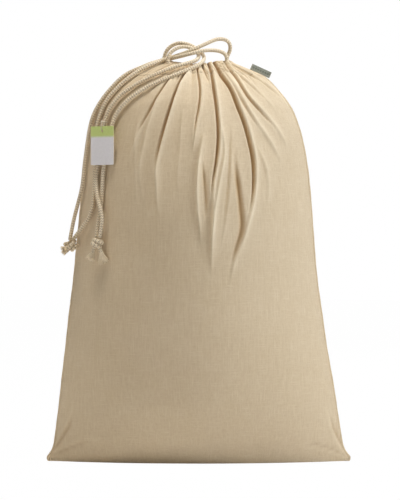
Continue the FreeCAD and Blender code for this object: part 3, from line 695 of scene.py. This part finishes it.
def cloth_mesh(name, rows, columns, side):
    """One panel of cloth as a grid that follows its own threads."""
    points, normal, u = bag_surface(rows, columns, side)
    height, deep = cloth_height(points, u, side)
    fade = np.array([row[3] for row in rows])[:, None]
    points = points + normal * (height * fade)[..., None]
    sag = MOUTH_SAG * np.exp(-((points[..., 0] + 6.0) / 30.0) ** 2) * rise(points[..., 2], 618.0, 640.0)
    points[..., 2] = np.clip(points[..., 2], 0.15, TOP + 1.6) - sag
    points[..., 1] = side * np.maximum(side * points[..., 1], SEAM_GAP)
    mesh = bpy.data.meshes.new(name)
    faces = []
    for r in range(len(rows) - 1):
        for c in range(columns - 1):
            a = r * columns + c
            quad = (a, a + 1, a + columns + 1, a + columns)
            faces.append(quad if side < 0 else quad[::-1])
    mesh.from_pydata((points.reshape(-1, 3) * MM).tolist(), [], faces)
    layer = mesh.uv_layers.new(name="threads")
    along = distance_along(points[:, columns // 2])
    uv = np.stack((u * CUT_WIDTH, np.repeat(along[:, None] * MM, columns, axis=1)), axis=-1).reshape(-1, 2)
    corner = np.empty(len(mesh.loops), dtype=np.int32)
    mesh.loops.foreach_get("vertex_index", corner)
    layer.data.foreach_set("uv", uv[corner].reshape(-1))
    # Each point's painted shade in a fold, or painted highlight on a ridge, for the cloth's finish.
    inside = mesh.attributes.new(name="deep_in_fold", type="FLOAT", domain="POINT")
    inside.data.foreach_set("value", deep.reshape(-1).astype(np.float32))
    mesh.polygons.foreach_set("use_smooth", [True] * len(mesh.polygons))
    piece = bpy.data.objects.new(name, mesh)
    scene.collection.objects.link(piece)
    return piece, points


def select_only(*pieces):
    """Select these pieces and nothing else."""
    bpy.ops.object.select_all(action="DESELECT")
    for piece in pieces:
        piece.select_set(True)
    bpy.context.view_layer.objects.active = pieces[0]


def thicken(piece, thickness):
    """Give a sheet its thickness, inwards, and keep it on the floor."""
    select_only(piece)
    solid = piece.modifiers.new("thickness", "SOLIDIFY")
    solid.thickness = thickness
    solid.offset = -1.0
    solid.use_rim = True
    bpy.ops.object.modifier_apply(modifier=solid.name)
    for vertex in piece.data.vertices:
        vertex.co.z = max(vertex.co.z, 0.0)


def dress(piece, finish, body, slot, *nodes):
    """Finish a piece, fix it to its body, and let it stand for its solids."""
    piece.data.materials.clear()
    piece.data.materials.append(finish)
    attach(piece, body)
    if nodes:
        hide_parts(*nodes)
    return piece


# The size each panel was cut to and the thickness of the cloth, in metres, and how many lines of
# points run up each piece.
CUT_WIDTH, CUT_HEIGHT = 0.5, 0.75
PANEL_CLOTH, HEM_CLOTH = 0.0009, 0.0011
PANEL_COLUMNS, HEM_COLUMNS = 270, 539
# Rows of the cloth: height, share of the depth, share of the width, share of the folds. The panel
# starts in the middle of the underside, and the hem ends inside the mouth.
UNDER = [(0.3, k, 1.0, 0.0) for k in np.linspace(0.02, 0.90, 10)]
UNDER += [(0.5, 0.95, 1.0, 0.1), (1.2, 0.985, 1.0, 0.2), (2.4, 1.0, 1.0, 0.35), (4.2, 1.0, 1.0, 0.6)]
RISING = ((6.5, 290, 62), (294, 440, 36), (443, 560, 38), (562, HEM_FOOT, 28))
PANEL_ROWS = UNDER + [(z, 1.0, 1.0, 1.0) for start, stop, count in RISING
                      for z in np.linspace(start, stop, count)]
HEM_ROWS = [(z, 1.0, 1.0, 1.0) for z in np.linspace(HEM_FOOT, 640.6, 36)]
HEM_ROWS += [(641.8, 0.95, 0.99, 1.0), (642.6, 0.86, 0.975, 0.95), (642.8, 0.76, 0.955, 0.9),
             (642.2, 0.66, 0.93, 0.8), (640.5, 0.58, 0.90, 0.7), (637.0, 0.53, 0.87, 0.5),
             (631.0, 0.50, 0.85, 0.3), (622.0, 0.50, 0.84, 0.2)]

SURFACES = {}
for side, word in ((-1, "front"), (1, "back")):
    panel, SURFACES[word] = cloth_mesh(word + "_cloth", PANEL_ROWS, PANEL_COLUMNS, side)
    thicken(panel, PANEL_CLOTH)
    dress(panel, CALICO, "bag", "canvas", word + "_panel")
    hem, SURFACES[word + "_hem"] = cloth_mesh(word + "_gathered_hem", HEM_ROWS, HEM_COLUMNS, side)
    thicken(hem, HEM_CLOTH)
    dress(hem, CALICO, "bag", "canvas", word + "_casing")


# ------------------------------------------------------------------ drawcords
def spline_line(points, resolution=24, closed=False):
    """Places along the smooth NURBS line of a cord's own points, open or closed into a loop."""
    curve = bpy.data.curves.new("cord_line", "CURVE")
    curve.dimensions = "3D"
    curve.resolution_u = resolution
    spline = curve.splines.new("NURBS")
    spline.points.add(len(points) - 1)
    for control, point in zip(spline.points, points):
        control.co = (*[value * MM for value in point], 1.0)
    spline.order_u = 3
    spline.use_endpoint_u = not closed
    spline.use_cyclic_u = closed
    holder = bpy.data.objects.new("cord_line", curve)
    scene.collection.objects.link(holder)
    mesh = bpy.data.meshes.new_from_object(holder)
    line = np.array([vertex.co[:] for vertex in mesh.vertices])
    bpy.data.objects.remove(holder)
    bpy.data.curves.remove(curve)
    bpy.data.meshes.remove(mesh)
    return line


def even(line, step):
    """The same line with evenly spaced places, and how far along it each is."""
    run = distance_along(line)
    want = np.linspace(0.0, run[-1], max(int(run[-1] / step), 4))
    return np.stack([np.interp(want, run, line[:, axis]) for axis in range(3)], axis=1), want


def frames(line):
    """Two directions square to the line at each place, without twist."""
    way = np.gradient(line, axis=0)
    way /= np.linalg.norm(way, axis=1)[:, None]
    first = np.cross(way[0], (0.0, 0.31, 0.95))
    first /= np.linalg.norm(first)
    firsts = [first]
    for step in way[1:]:
        first = firsts[-1] - step * np.dot(firsts[-1], step)
        firsts.append(first / np.linalg.norm(first))
    firsts = np.array(firsts)
    return firsts, np.cross(way, firsts)


def braid_radius(around, along):
    """The same plaits as in the cord's finish, for its shape."""
    left, right = around * PLAITS + along / PLAIT_PITCH, around * PLAITS - along / PLAIT_PITCH
    mask = 0.5 + 0.5 * np.sin((left + right) * math.pi)
    return np.abs(np.sin(left * math.pi)) * mask + np.abs(np.sin(right * math.pi)) * (1 - mask)


def tube_faces(rings, corners, base=0):
    """The walls and the two end faces of a tube whose rings of points follow each other."""
    faces = []
    for r in range(rings - 1):
        for c in range(corners):
            a, b = base + r * corners + c, base + r * corners + (c + 1) % corners
            faces.append((a, b, b + corners, a + corners))
    faces.append(tuple(range(base, base + corners))[::-1])
    faces.append(tuple(range(base + (rings - 1) * corners, base + rings * corners)))
    return faces


BRAID_STEP = 0.0008


def braided(name, line, diameter, corners=24, rounded_ends=True):
    """A round braid along a line, each plait raised."""
    line, run = even(line, BRAID_STEP)
    first, second = frames(line)
    turn = np.linspace(0.0, 1.0, corners, endpoint=False)
    radius = diameter / 2 * (0.90 + 0.15 * braid_radius(turn[None, :], run[:, None]))
    if rounded_ends:
        tip = np.minimum(run, run[-1] - run) / (diameter * 0.25)
        radius *= np.sqrt(1 - (1 - np.clip(tip, 0.05, 1)) ** 2)[:, None]
    angle = turn * 2 * math.pi
    outward = (np.cos(angle)[None, :, None] * first[:, None, :]
               + np.sin(angle)[None, :, None] * second[:, None, :])
    points = line[:, None, :] + radius[..., None] * outward
    mesh = bpy.data.meshes.new(name)
    mesh.from_pydata(points.reshape(-1, 3).tolist(), [], tube_faces(len(line), corners))
    layer = mesh.uv_layers.new(name="threads")
    for polygon in mesh.polygons:
        polygon.use_smooth = True
        for loop in polygon.loop_indices:
            vertex = mesh.loops[loop].vertex_index
            share = (vertex % corners) / corners
            if share == 0.0 and any(mesh.loops[o].vertex_index % corners == corners - 1
                                    for o in polygon.loop_indices) and len(polygon.vertices) == 4:
                share = 1.0
            layer.data[loop].uv = (share, run[vertex // corners])
    piece = bpy.data.objects.new(name, mesh)
    scene.collection.objects.link(piece)
    return piece, line


# The four free strands: piece, node, the knot and cut end on it, and the points of its route.
CORD_SIZE = 0.006
STRANDS = (
    ("cord_a_outer", "cord_a_outer_strand", ("cord_a_knot", "cord_a_tail_short"), (
        (-58, 11, 643), (-58, 11, 653), (-50, 8, 666), (-35, 5, 673), (-18, 2, 670),
        (-3, 0, 661), (6, -8, 651), (7, -24, 641), (-6, -42, 630), (-31, -51, 619),
        (-64, -56, 606), (-94, -56, 591), (-121, -52, 570), (-136, -49, 549),
        (-142, -51, 527), (-148, -53, 497), (-153, -55, 462), (-154, -57, 437),
        (-155, -58, 414), (-160, -58, 387), (-163, -63, 358),
    )),
    ("cord_a_inner", "cord_a_inner_strand", ("cord_a_knot", "cord_a_tail_long"), (
        (-51, -11, 643), (-51, -11, 651), (-40, -8, 662), (-24, -5, 666.5), (-9, -4, 661),
        (-1, -9, 651.5), (-4, -24, 641.5), (-23, -36, 635), (-45, -40, 628), (-74, -43, 616),
        (-101, -42, 602), (-128, -38, 584), (-146, -37, 561), (-152, -40, 536),
        (-157, -43, 504), (-161, -44, 474), (-165, -46, 448), (-162, -61, 422),
        (-155, -71, 400), (-153, -73, 381), (-158, -70, 358),
    )),
    ("cord_b_outer", "cord_b_outer_strand", ("cord_b_knot", "cord_b_tail"), (
        (43, 11, 643), (43, 11, 650), (50, 8.5, 663), (46, 3, 676), (30, -3, 679),
        (11, -10, 670), (-10, -15, 660), (-31, -5, 652.5), (-52, 3.5, 647),
        (-66, 0, 642.5), (-80, -5, 638), (-98, -6, 630.5), (-122, -6, 620),
        (-147, -6, 594.5), (-165, -7, 569), (-175, -8.5, 545), (-180.5, -11, 510),
        (-185, -14, 475), (-188, -14, 440), (-197, -10, 408), (-204, -12, 380),
        (-208, -15, 354),
    )),
    ("cord_b_inner", "cord_b_inner_strand", ("cord_b_knot",), (
        (43, -11, 643), (43, -11, 650), (35, -13, 656.5), (22, -17, 658.5), (6, -21, 657.5),
        (-12, -21.5, 653), (-31, -12.5, 649), (-50, -3.5, 645.5), (-64, -7, 641.5),
        (-80, -14, 635), (-102, -17, 624), (-130, -19, 601), (-151, -19, 577),
        (-163, -22, 546), (-167, -28, 514), (-167, -37, 477), (-167, -42, 444),
        (-169, -45, 412), (-175, -41, 390), (-188, -29, 375), (-203, -20, 355),
    )),
)


def joined_mesh(name, points, faces, uvs=None):
    """A piece from points in metres, smooth shaded, with its thread map if it has one."""
    mesh = bpy.data.meshes.new(name)
    mesh.from_pydata([tuple(point) for point in points], [], faces)
    if uvs is not None:
        layer = mesh.uv_layers.new(name="threads")
        for loop in mesh.loops:
            layer.data[loop.index].uv = uvs[loop.vertex_index]
    mesh.polygons.foreach_set("use_smooth", [True] * len(mesh.polygons))
    piece = bpy.data.objects.new(name, mesh)
    scene.collection.objects.link(piece)
    return piece


def join(name, *pieces):
    """Make one piece of several, under a new name."""
    select_only(*pieces)
    bpy.ops.object.join()
    pieces[0].name = pieces[0].data.name = name
    return pieces[0]


def wrap_points(centre, turn, tilt, size):
    """A cord end wound twice round its neighbours and tucked in: the body of a knot."""
    places = (
        (1, 2, 4), (5.6, 3, 6.6), (7.4, -1.4, 5.6), (4.4, -6, 4.6), (-1.4, -7.6, 4.0), (-6.4, -4.6, 3.0),
        (-7.4, 1.2, 1.6), (-4.2, 6.4, 0.2), (1.6, 7.6, -1.0), (6.6, 4, -1.9), (7.6, -1.6, -2.0),
        (3.8, -6.6, -2.4), (-1.8, -7.6, -3.4), (-6.6, -3.8, -4.4), (-6.2, 2.2, -5.0), (-1, 4.4, -5.4),
        (2, 1, -6.4),
    )
    out = []
    for x, y, z in places:
        x, y = x * math.cos(turn) - y * math.sin(turn), x * math.sin(turn) + y * math.cos(turn)
        x, z = x * math.cos(tilt) + z * math.sin(tilt), z * math.cos(tilt) - x * math.sin(tilt)
        out.append((centre[0] + x * size, centre[1] + y * size, centre[2] + z * size))
    return out


FIBRE_CORNERS, FIBRE_STEPS = 5, 9


def frayed(name, points, bare, fibres, length, spread, dice):
    """A cut cord end: a short braid that comes apart into soft strands."""
    braid, line = braided(name + "_braid", spline_line(points), CORD_SIZE)
    line, _ = even(line, 0.0004)
    first, second = frames(line)
    way = line[-1] - line[-6]
    way /= np.linalg.norm(way)
    root = line[int(len(line) * bare)]
    verts, faces = [], []
    for _ in range(fibres):
        angle, far = dice.uniform(0, 2 * math.pi), math.sqrt(dice.uniform(0.05, 1.0))
        out = math.cos(angle) * first[-1] + math.sin(angle) * second[-1]
        curl, phase = dice.uniform(0.0002, 0.0009), dice.uniform(0, 6.28)
        reach = length * dice.uniform(0.75, 1.08)
        thick = dice.uniform(0.00034, 0.00054)
        faces += tube_faces(FIBRE_STEPS + 1, FIBRE_CORNERS, len(verts))
        for step in range(FIBRE_STEPS + 1):
            u = step / FIBRE_STEPS
            centre = root + out * 0.0023 * far + way * reach * u + out * spread * far * u ** 1.5
            centre = centre + second[-1] * curl * math.sin(phase + u * 7.0)
            centre = centre + first[-1] * curl * math.cos(phase + u * 6.0)
            radius = thick * (1.0 - 0.6 * u ** 3)
            for corner in range(FIBRE_CORNERS):
                a = 2 * math.pi * corner / FIBRE_CORNERS
                verts.append(centre + radius * (math.cos(a) * first[-1] + math.sin(a) * second[-1]))
    # All the fibres lie on top of one plait, so none takes the shade between plaits.
    strands = joined_mesh(name + "_strands", verts, faces, [(0.5 / PLAITS, 0.0)] * len(verts))
    return join(name, braid, strands)


# Knots: piece, node, middle, turn, tilt, size, and the cord's diameter in the knot.
KNOTS = (
    ("cord_a_overhand_knot", "cord_a_knot", (-162, -67, 350), 0.5, 0.62, 0.92, 0.0062),
    ("cord_b_overhand_knot", "cord_b_knot", (-206, -18, 346), 2.6, -0.55, 1.12, 0.0066),
)
# Cut ends: piece, node, points, share still braided, and the number, length and spread of the fibres.
CUT_ENDS = (
    ("cord_a_long_frayed_end", "cord_a_tail_long",
     ((-159, -68, 347), (-157, -69, 340), (-154, -71, 330), (-151, -72, 320)), 0.34, 120, 0.0205, 0.0078),
    ("cord_a_short_frayed_end", "cord_a_tail_short",
     ((-165, -66, 347), (-167, -65, 340), (-170, -62, 331), (-173, -60, 323)), 0.40, 80, 0.0150, 0.0062),
    ("cord_b_frayed_end", "cord_b_tail",
     ((-208, -18, 347), (-210, -19, 341), (-214, -21, 336), (-219, -23, 334)), 0.30, 96, 0.0120, 0.0066),
)
for name, node, middle, turn, tilt, size, diameter in KNOTS:
    knot, _ = braided(name, spline_line(wrap_points(middle, turn, tilt, size)), diameter)
    dress(knot, CORD, "bag", "cord", node)
for name, node, points, bare, fibres, length, spread in CUT_ENDS:
    tail = frayed(name, points, bare, fibres, length, spread, DICE)
    dress(tail, CORD, "bag", "cord", node)

for name, node, on_it, points in STRANDS:
    strand, line = braided(name, spline_line(points), CORD_SIZE)
    dress(strand, CORD, "bag", "cord", node)

# The same two cords where they run inside the hem.
IN_THE_HEM = (
    ("cord_a_in_hem", "cord_a_casing_run", (
        (-58, 11, 643), (-58, 11, 632), (-47, 11, 632), (-12, 11, 632), (27, 11, 632), (37, 5, 632),
        (37, -5, 632), (27, -11, 632), (-12, -11, 632), (-40, -11, 632), (-51, -11, 632), (-51, -11, 643))),
    ("cord_b_in_hem", "cord_b_casing_run", (
        (43, 11, 643), (43, 11, 623), (24, 11, 623), (-4, 11, 623), (-41, 11, 623), (-51, 5, 623),
        (-51, -5, 623), (-41, -11, 623), (-4, -11, 623), (24, -11, 623), (43, -11, 623), (43, -11, 643))),
)
for name, node, points in IN_THE_HEM:
    hidden, line = braided(name, spline_line(points), CORD_SIZE, rounded_ends=False)
    dress(hidden, CORD, "bag", "cord", node)

# ------------------------------------------------------------------ seams
# A seam cut through: how far out of the bag, and how far to the front or back.
SEAM_HALF = ((2.75, 0.45), (2.45, 0.95), (1.5, 1.35), (0.4, 1.5), (-1.2, 1.4), (-2.8, 0.7))
SEAM_SECTION = ((2.5, 0.0), *SEAM_HALF, (-3.2, 0.0), *((away, -thick) for away, thick in SEAM_HALF[::-1]))
SEAM_STITCH = 3.0


def seam_ridge(name, path, outward):
    """The two sewn edges of the cloth as one narrow ridge, pinched by each stitch."""
    verts, uvs = [], []
    for run, centre, out in zip(distance_along(path), path, outward):
        pinch = 1.0 - 0.16 * (0.5 + 0.5 * math.cos(2 * math.pi * run / SEAM_STITCH)) ** 3
        wander = 0.22 * math.sin(run / 17.0) + 0.12 * math.sin(run / 5.3 + 1.0)
        for away, thick in SEAM_SECTION:
            spot = centre + out * (away + wander * (away > 0)) + np.array((0.0, thick * pinch, 0.0))
            spot[2] = max(spot[2], 0.02)
            verts.append(spot * MM)
            uvs.append(((away + 4.0 + abs(thick)) * MM, run * MM))
    piece = joined_mesh(name, verts, tube_faces(len(path), len(SEAM_SECTION)), uvs)
    select_only(piece)
    bpy.ops.object.mode_set(mode="EDIT")
    bpy.ops.mesh.select_all(action="SELECT")
    bpy.ops.mesh.normals_make_consistent(inside=False)
    bpy.ops.object.mode_set(mode="OBJECT")
    return piece


def seam_path(column, side):
    """The edge of the cloth from corner to mouth, with the way out of the bag at each place."""
    edge = np.vstack((SURFACES["front"][8:, column], SURFACES["front_hem"][1:, column]))
    edge[:, 1] = 0.0
    edge, _ = even(edge, 0.75)
    way = np.gradient(edge, axis=0)
    for _ in range(6):
        way[1:-1] = (way[:-2] + way[1:-1] * 2 + way[2:]) / 4
    way /= np.linalg.norm(way, axis=1)[:, None]
    out = np.stack((way[:, 2], np.zeros(len(way)), -way[:, 0]), axis=1) * side
    return edge - out * 0.7, out


for name, node, column, side in (("left_side_seam", "side_seam_left", 0, -1),
                                 ("right_side_seam", "side_seam_right", -1, 1)):
    ridge = seam_ridge(name, *seam_path(column, side))
    dress(ridge, CALICO, "bag", "canvas", node)
along_base = np.linspace(-236, 232, 420)
bottom_line = np.stack((along_base, np.zeros_like(along_base), np.full_like(along_base, 2.9)), axis=1)
downward = np.tile(np.array((0.0, 0.0, -1.0)), (len(along_base), 1))
under = seam_ridge("bottom_stitched_seam", bottom_line, downward)
dress(under, CALICO, "bag", "canvas", "bottom_seam")


HEM_STITCH = 2.6
# One stitch: places along it, from end to end, and its thickness there.
STITCH_FORM = ((-1.0, 0.12), (-0.7, 0.28), (0.0, 0.34), (0.7, 0.28), (1.0, 0.12))


def stitches(name, surface, row, side):
    """Short thread stitches along one row of the gathered hem."""
    line = surface[row]
    nearby = surface[row + 1]
    run = distance_along(line)
    places = np.arange(3.0, run[-1] - 3.0, HEM_STITCH)
    centre = np.stack([np.interp(places, run, line[:, axis]) for axis in range(3)], axis=1)
    ahead = np.stack([np.interp(places + 0.7, run, line[:, axis]) for axis in range(3)], axis=1) - centre
    upward = np.stack([np.interp(places, run, nearby[:, axis]) for axis in range(3)], axis=1) - centre
    corners = 5
    verts, faces = [], []
    for place, way, up in zip(centre, ahead, upward):
        way = way / (np.linalg.norm(way) + 1e-9)
        out = np.cross(way, up) * -side
        out /= np.linalg.norm(out) + 1e-9
        tall = np.cross(out, way)
        faces += tube_faces(len(STITCH_FORM), corners, len(verts))
        for step, radius in STITCH_FORM:
            lift = 0.30 * (1 - step * step) + 0.06
            middle = place + way * step * HEM_STITCH * 0.36
            for corner in range(corners):
                a = 2 * math.pi * corner / corners
                spot = middle + out * (lift + radius * math.cos(a)) + tall * radius * math.sin(a)
                verts.append(spot * MM)
    return joined_mesh(name, verts, faces)


for word, side in (("front", -1), ("back", 1)):
    row = stitches(word + "_hem_stitches", SURFACES[word + "_hem"], 2, side)
    dress(row, THREAD, "bag", "canvas")

# ------------------------------------------------------------------ tag, its string and the label
tag = frame["nodes"]["hang_tag"]
tag.data.materials.clear()
tag.data.materials.append(CARD)

STRING_RADIUS = 0.0006
STRING_LAY = 0.0042


def string_loop(name, points, corners=10):
    """A closed loop of two-ply string through given points."""
    line = spline_line(points, 16, closed=True)
    line, run = even(np.vstack((line, line[:1])), 0.00035)
    line, run = line[:-1], run[:-1]
    way = np.roll(line, -1, axis=0) - np.roll(line, 1, axis=0)
    way /= np.linalg.norm(way, axis=1)[:, None]
    middle = line.mean(axis=0)
    flat = np.cross(line[0] - middle, line[len(line) // 4] - middle)
    flat /= np.linalg.norm(flat)
    second = np.cross(way, flat)
    verts, uvs, faces = [], [], []
    total = len(line)
    for r in range(total):
        for c in range(corners):
            a = 2 * math.pi * c / corners
            ply = abs(math.sin(a - 2 * math.pi * run[r] / STRING_LAY))
            radius = STRING_RADIUS * (0.84 + 0.2 * ply)
            verts.append(line[r] + radius * (math.cos(a) * flat + math.sin(a) * second[r]))
            uvs.append((c / corners, run[r]))
            d, e = (c + 1) % corners, ((r + 1) % total) * corners
            faces.append((r * corners + c, r * corners + d, e + d, e + c))
    return joined_mesh(name, verts, faces, uvs)


# The link goes through the tag's hole, square to the card: places ahead of the card and above its hole.
LINK = ((0, -0.4), (-2.3, 0.1), (-3.5, 2.6), (-3.2, 7.0), (-2.6, 11.6), (-1.4, 14.4), (0, 15.2), (1.8, 14.2),
        (3.4, 11.0), (3.5, 6.6), (3.4, 2.6), (2.3, 0.1))
# The loop goes round the inner strand of cord A and forward to the link: places ahead of, beside and
# above a point on the strand.
LOOP_STRAND = np.array((-150.7, -39.3, 541.4))
LOOP_AHEAD = np.array((-0.161, -0.987, 0.0))
LOOP_BESIDE = np.array((0.987, -0.161, 0.0))
LOOP = ((-5.2, 0, 0.4), (-3.6, 3.9, 0.2), (2, 5.0, 0), (9, 4.6, -0.3), (16, 4.4, 0), (20.6, 2.9, 0.2),
        (21.9, 0, 0.3), (20.6, -2.9, 0.3), (16, -4.4, 0), (9, -4.6, -0.3), (2, -5.0, 0), (-3.6, -3.9, 0.3))
link = string_loop("string_link", [TAG_HOLE + TAG_FACING * a + np.array((0, 0, up)) for a, up in LINK])
loop = string_loop("string_loop", [LOOP_STRAND + LOOP_AHEAD * a + LOOP_BESIDE * b + np.array((0, 0, up))
                                   for a, b, up in LOOP])
string = join("twisted_tag_string", link, loop)
dress(string, STRING, "bag", "string", "tag_string")


# The label leaves the seam at its joint's line, along the joint's axis.
seam_line = next(joint for joint in frame["joints"] if joint["name"] == "label_flap")
LABEL_AT = np.array(seam_line["pos_m"]) / MM
LABEL_ALONG = np.array(seam_line["axis"])
LABEL_OUT = np.array((-LABEL_ALONG[2], 0.0, LABEL_ALONG[0]))
LABEL_WIDE = 34.3
LABEL_STEPS = 48
# Its fold cut through, in at the back, round the end and out at the front, and how long that is.
FOLDED = [(-0.42, -0.3)] + [(-0.55, away) for away in np.linspace(0.8, 8.6, 8)]
FOLDED += [(0.62 * math.cos(a), 9.15 + 0.75 * math.sin(a))
           for a in np.linspace(math.pi * 0.92, math.pi * 0.08, 9)]
FOLDED += [(0.55, away) for away in np.linspace(8.6, 0.8, 8)] + [(0.42, -0.3)]
FOLDED_REACH, FOLDED_LENGTH = 9.9, 20.2


def folded_label(name):
    """A strip of woven tape folded in two, a little wavy, with both ends in the seam."""
    verts, uvs, faces = [], [], []
    for step in range(LABEL_STEPS + 1):
        u = step / LABEL_STEPS
        wave = 0.22 * math.sin(u * 5.1 + 0.6)
        fray = 0.10 * math.sin(u * 61.0)
        for run, (thick, away) in zip(distance_along(FOLDED), FOLDED):
            free = max(away, 0.0) / FOLDED_REACH
            place = LABEL_AT + LABEL_ALONG * (u - 0.5) * LABEL_WIDE + LABEL_OUT * (away + fray * free)
            verts.append((place + np.array((0.0, thick + wave * free, 0.0))) * MM)
            uvs.append((u * LABEL_CUT[0], min(run, FOLDED_LENGTH - run) * MM))
    count = len(FOLDED)
    for step in range(LABEL_STEPS):
        for index in range(count - 1):
            a = step * count + index
            faces.append((a, a + count, a + count + 1, a + 1))
    return joined_mesh(name, verts, faces, uvs)


label = folded_label("folded_woven_label")
thicken(label, 0.00028)
dress(label, TAPE, "label", "label", "woven_label")

# ------------------------------------------------------------------ studio
def in_plain_view(t):
    """The light path, and 1 where the camera sees a surface directly or in a gloss."""
    path = t.add("ShaderNodeLightPath")
    return path, t.math("MAXIMUM", path.outputs["Is Camera Ray"], path.outputs["Is Glossy Ray"])


def stage_white():
    """Pale floor that the camera sees as white, with the soft shadow kept."""
    made, t, shader = material("studio_white")
    shader.inputs["Base Color"].default_value = (0.90, 0.90, 0.90, 1.0)
    shader.inputs["Roughness"].default_value = 0.9
    shader.inputs["Specular IOR Level"].default_value = 0.1
    path, seen = in_plain_view(t)
    seen = t.math("MAXIMUM", seen, path.outputs["Is Transmission Ray"])
    glow = t.add("ShaderNodeEmission", Color=(1.0, 1.0, 1.0, 1.0), Strength=1.0)
    blend = t.add("ShaderNodeMixShader")
    t.link(t.math("MULTIPLY", seen, 0.993), blend.inputs[0])
    t.link(shader.outputs[0], blend.inputs[1])
    t.link(glow.outputs[0], blend.inputs[2])
    out = next(node for node in made.node_tree.nodes if node.type == "OUTPUT_MATERIAL")
    t.link(blend.outputs[0], out.inputs["Surface"])
    return made


def studio_floor(half=9.0, drop=0.0004):
    """A wide level floor just under the bag."""
    mesh = bpy.data.meshes.new("studio_sweep")
    verts = [(x, y, -drop) for y in (-half, half) for x in (-half, half)]
    mesh.from_pydata(verts, [], [(0, 1, 3, 2)])
    mesh.materials.append(stage_white())
    piece = bpy.data.objects.new("studio_sweep", mesh)
    scene.collection.objects.link(piece)


def studio_world():
    """Faint warm light from all round, which the camera sees as white."""
    world = bpy.data.worlds.new("studio")
    scene.world = world
    world.use_nodes = True
    t = Tree(world.node_tree)
    soft = world.node_tree.nodes["Background"]
    soft.inputs["Color"].default_value = (1.0, 0.925, 0.82, 1.0)
    soft.inputs["Strength"].default_value = 0.062
    white = t.add("ShaderNodeBackground", Color=(1.0, 1.0, 1.0, 1.0), Strength=1.0)
    _, seen = in_plain_view(t)
    blend = t.add("ShaderNodeMixShader")
    t.link(seen, blend.inputs[0])
    t.link(soft.outputs[0], blend.inputs[1])
    t.link(white.outputs[0], blend.inputs[2])
    t.link(blend.outputs[0], world.node_tree.nodes["World Output"].inputs["Surface"])


def area_light(name, place, target, size, power, colour):
    """A soft box that looks at its target."""
    lamp = bpy.data.objects.new(name, bpy.data.lights.new(name, "AREA"))
    scene.collection.objects.link(lamp)
    lamp.location = place
    lamp.data.shape = "RECTANGLE"
    lamp.data.size, lamp.data.size_y = size
    lamp.data.energy = power
    lamp.data.color = colour
    aim(lamp, target)


studio_floor()
# name, place, what it looks at, width and height, power, colour
area_light("key_upper_right", (2.05, -0.72, 1.9), (0.0, 0.0, 0.40), (1.0, 1.2), 49.0, (0.90, 0.94, 1.0))
area_light("fill_left", (-2.0, -1.7, 1.0), (0.0, 0.0, 0.3), (0.4, 0.4), 6.0, (1.0, 0.90, 0.78))
area_light("soft_above", (-0.25, -0.35, 2.3), (0.0, 0.0, 0.6), (1.0, 0.7), 27.0, (1.0, 0.97, 0.93))
area_light("soft_behind", (0.9, 2.6, 1.7), (0.0, 0.0, 0.35), (1.4, 1.4), 42.0, (1.0, 0.97, 0.93))
studio_world()
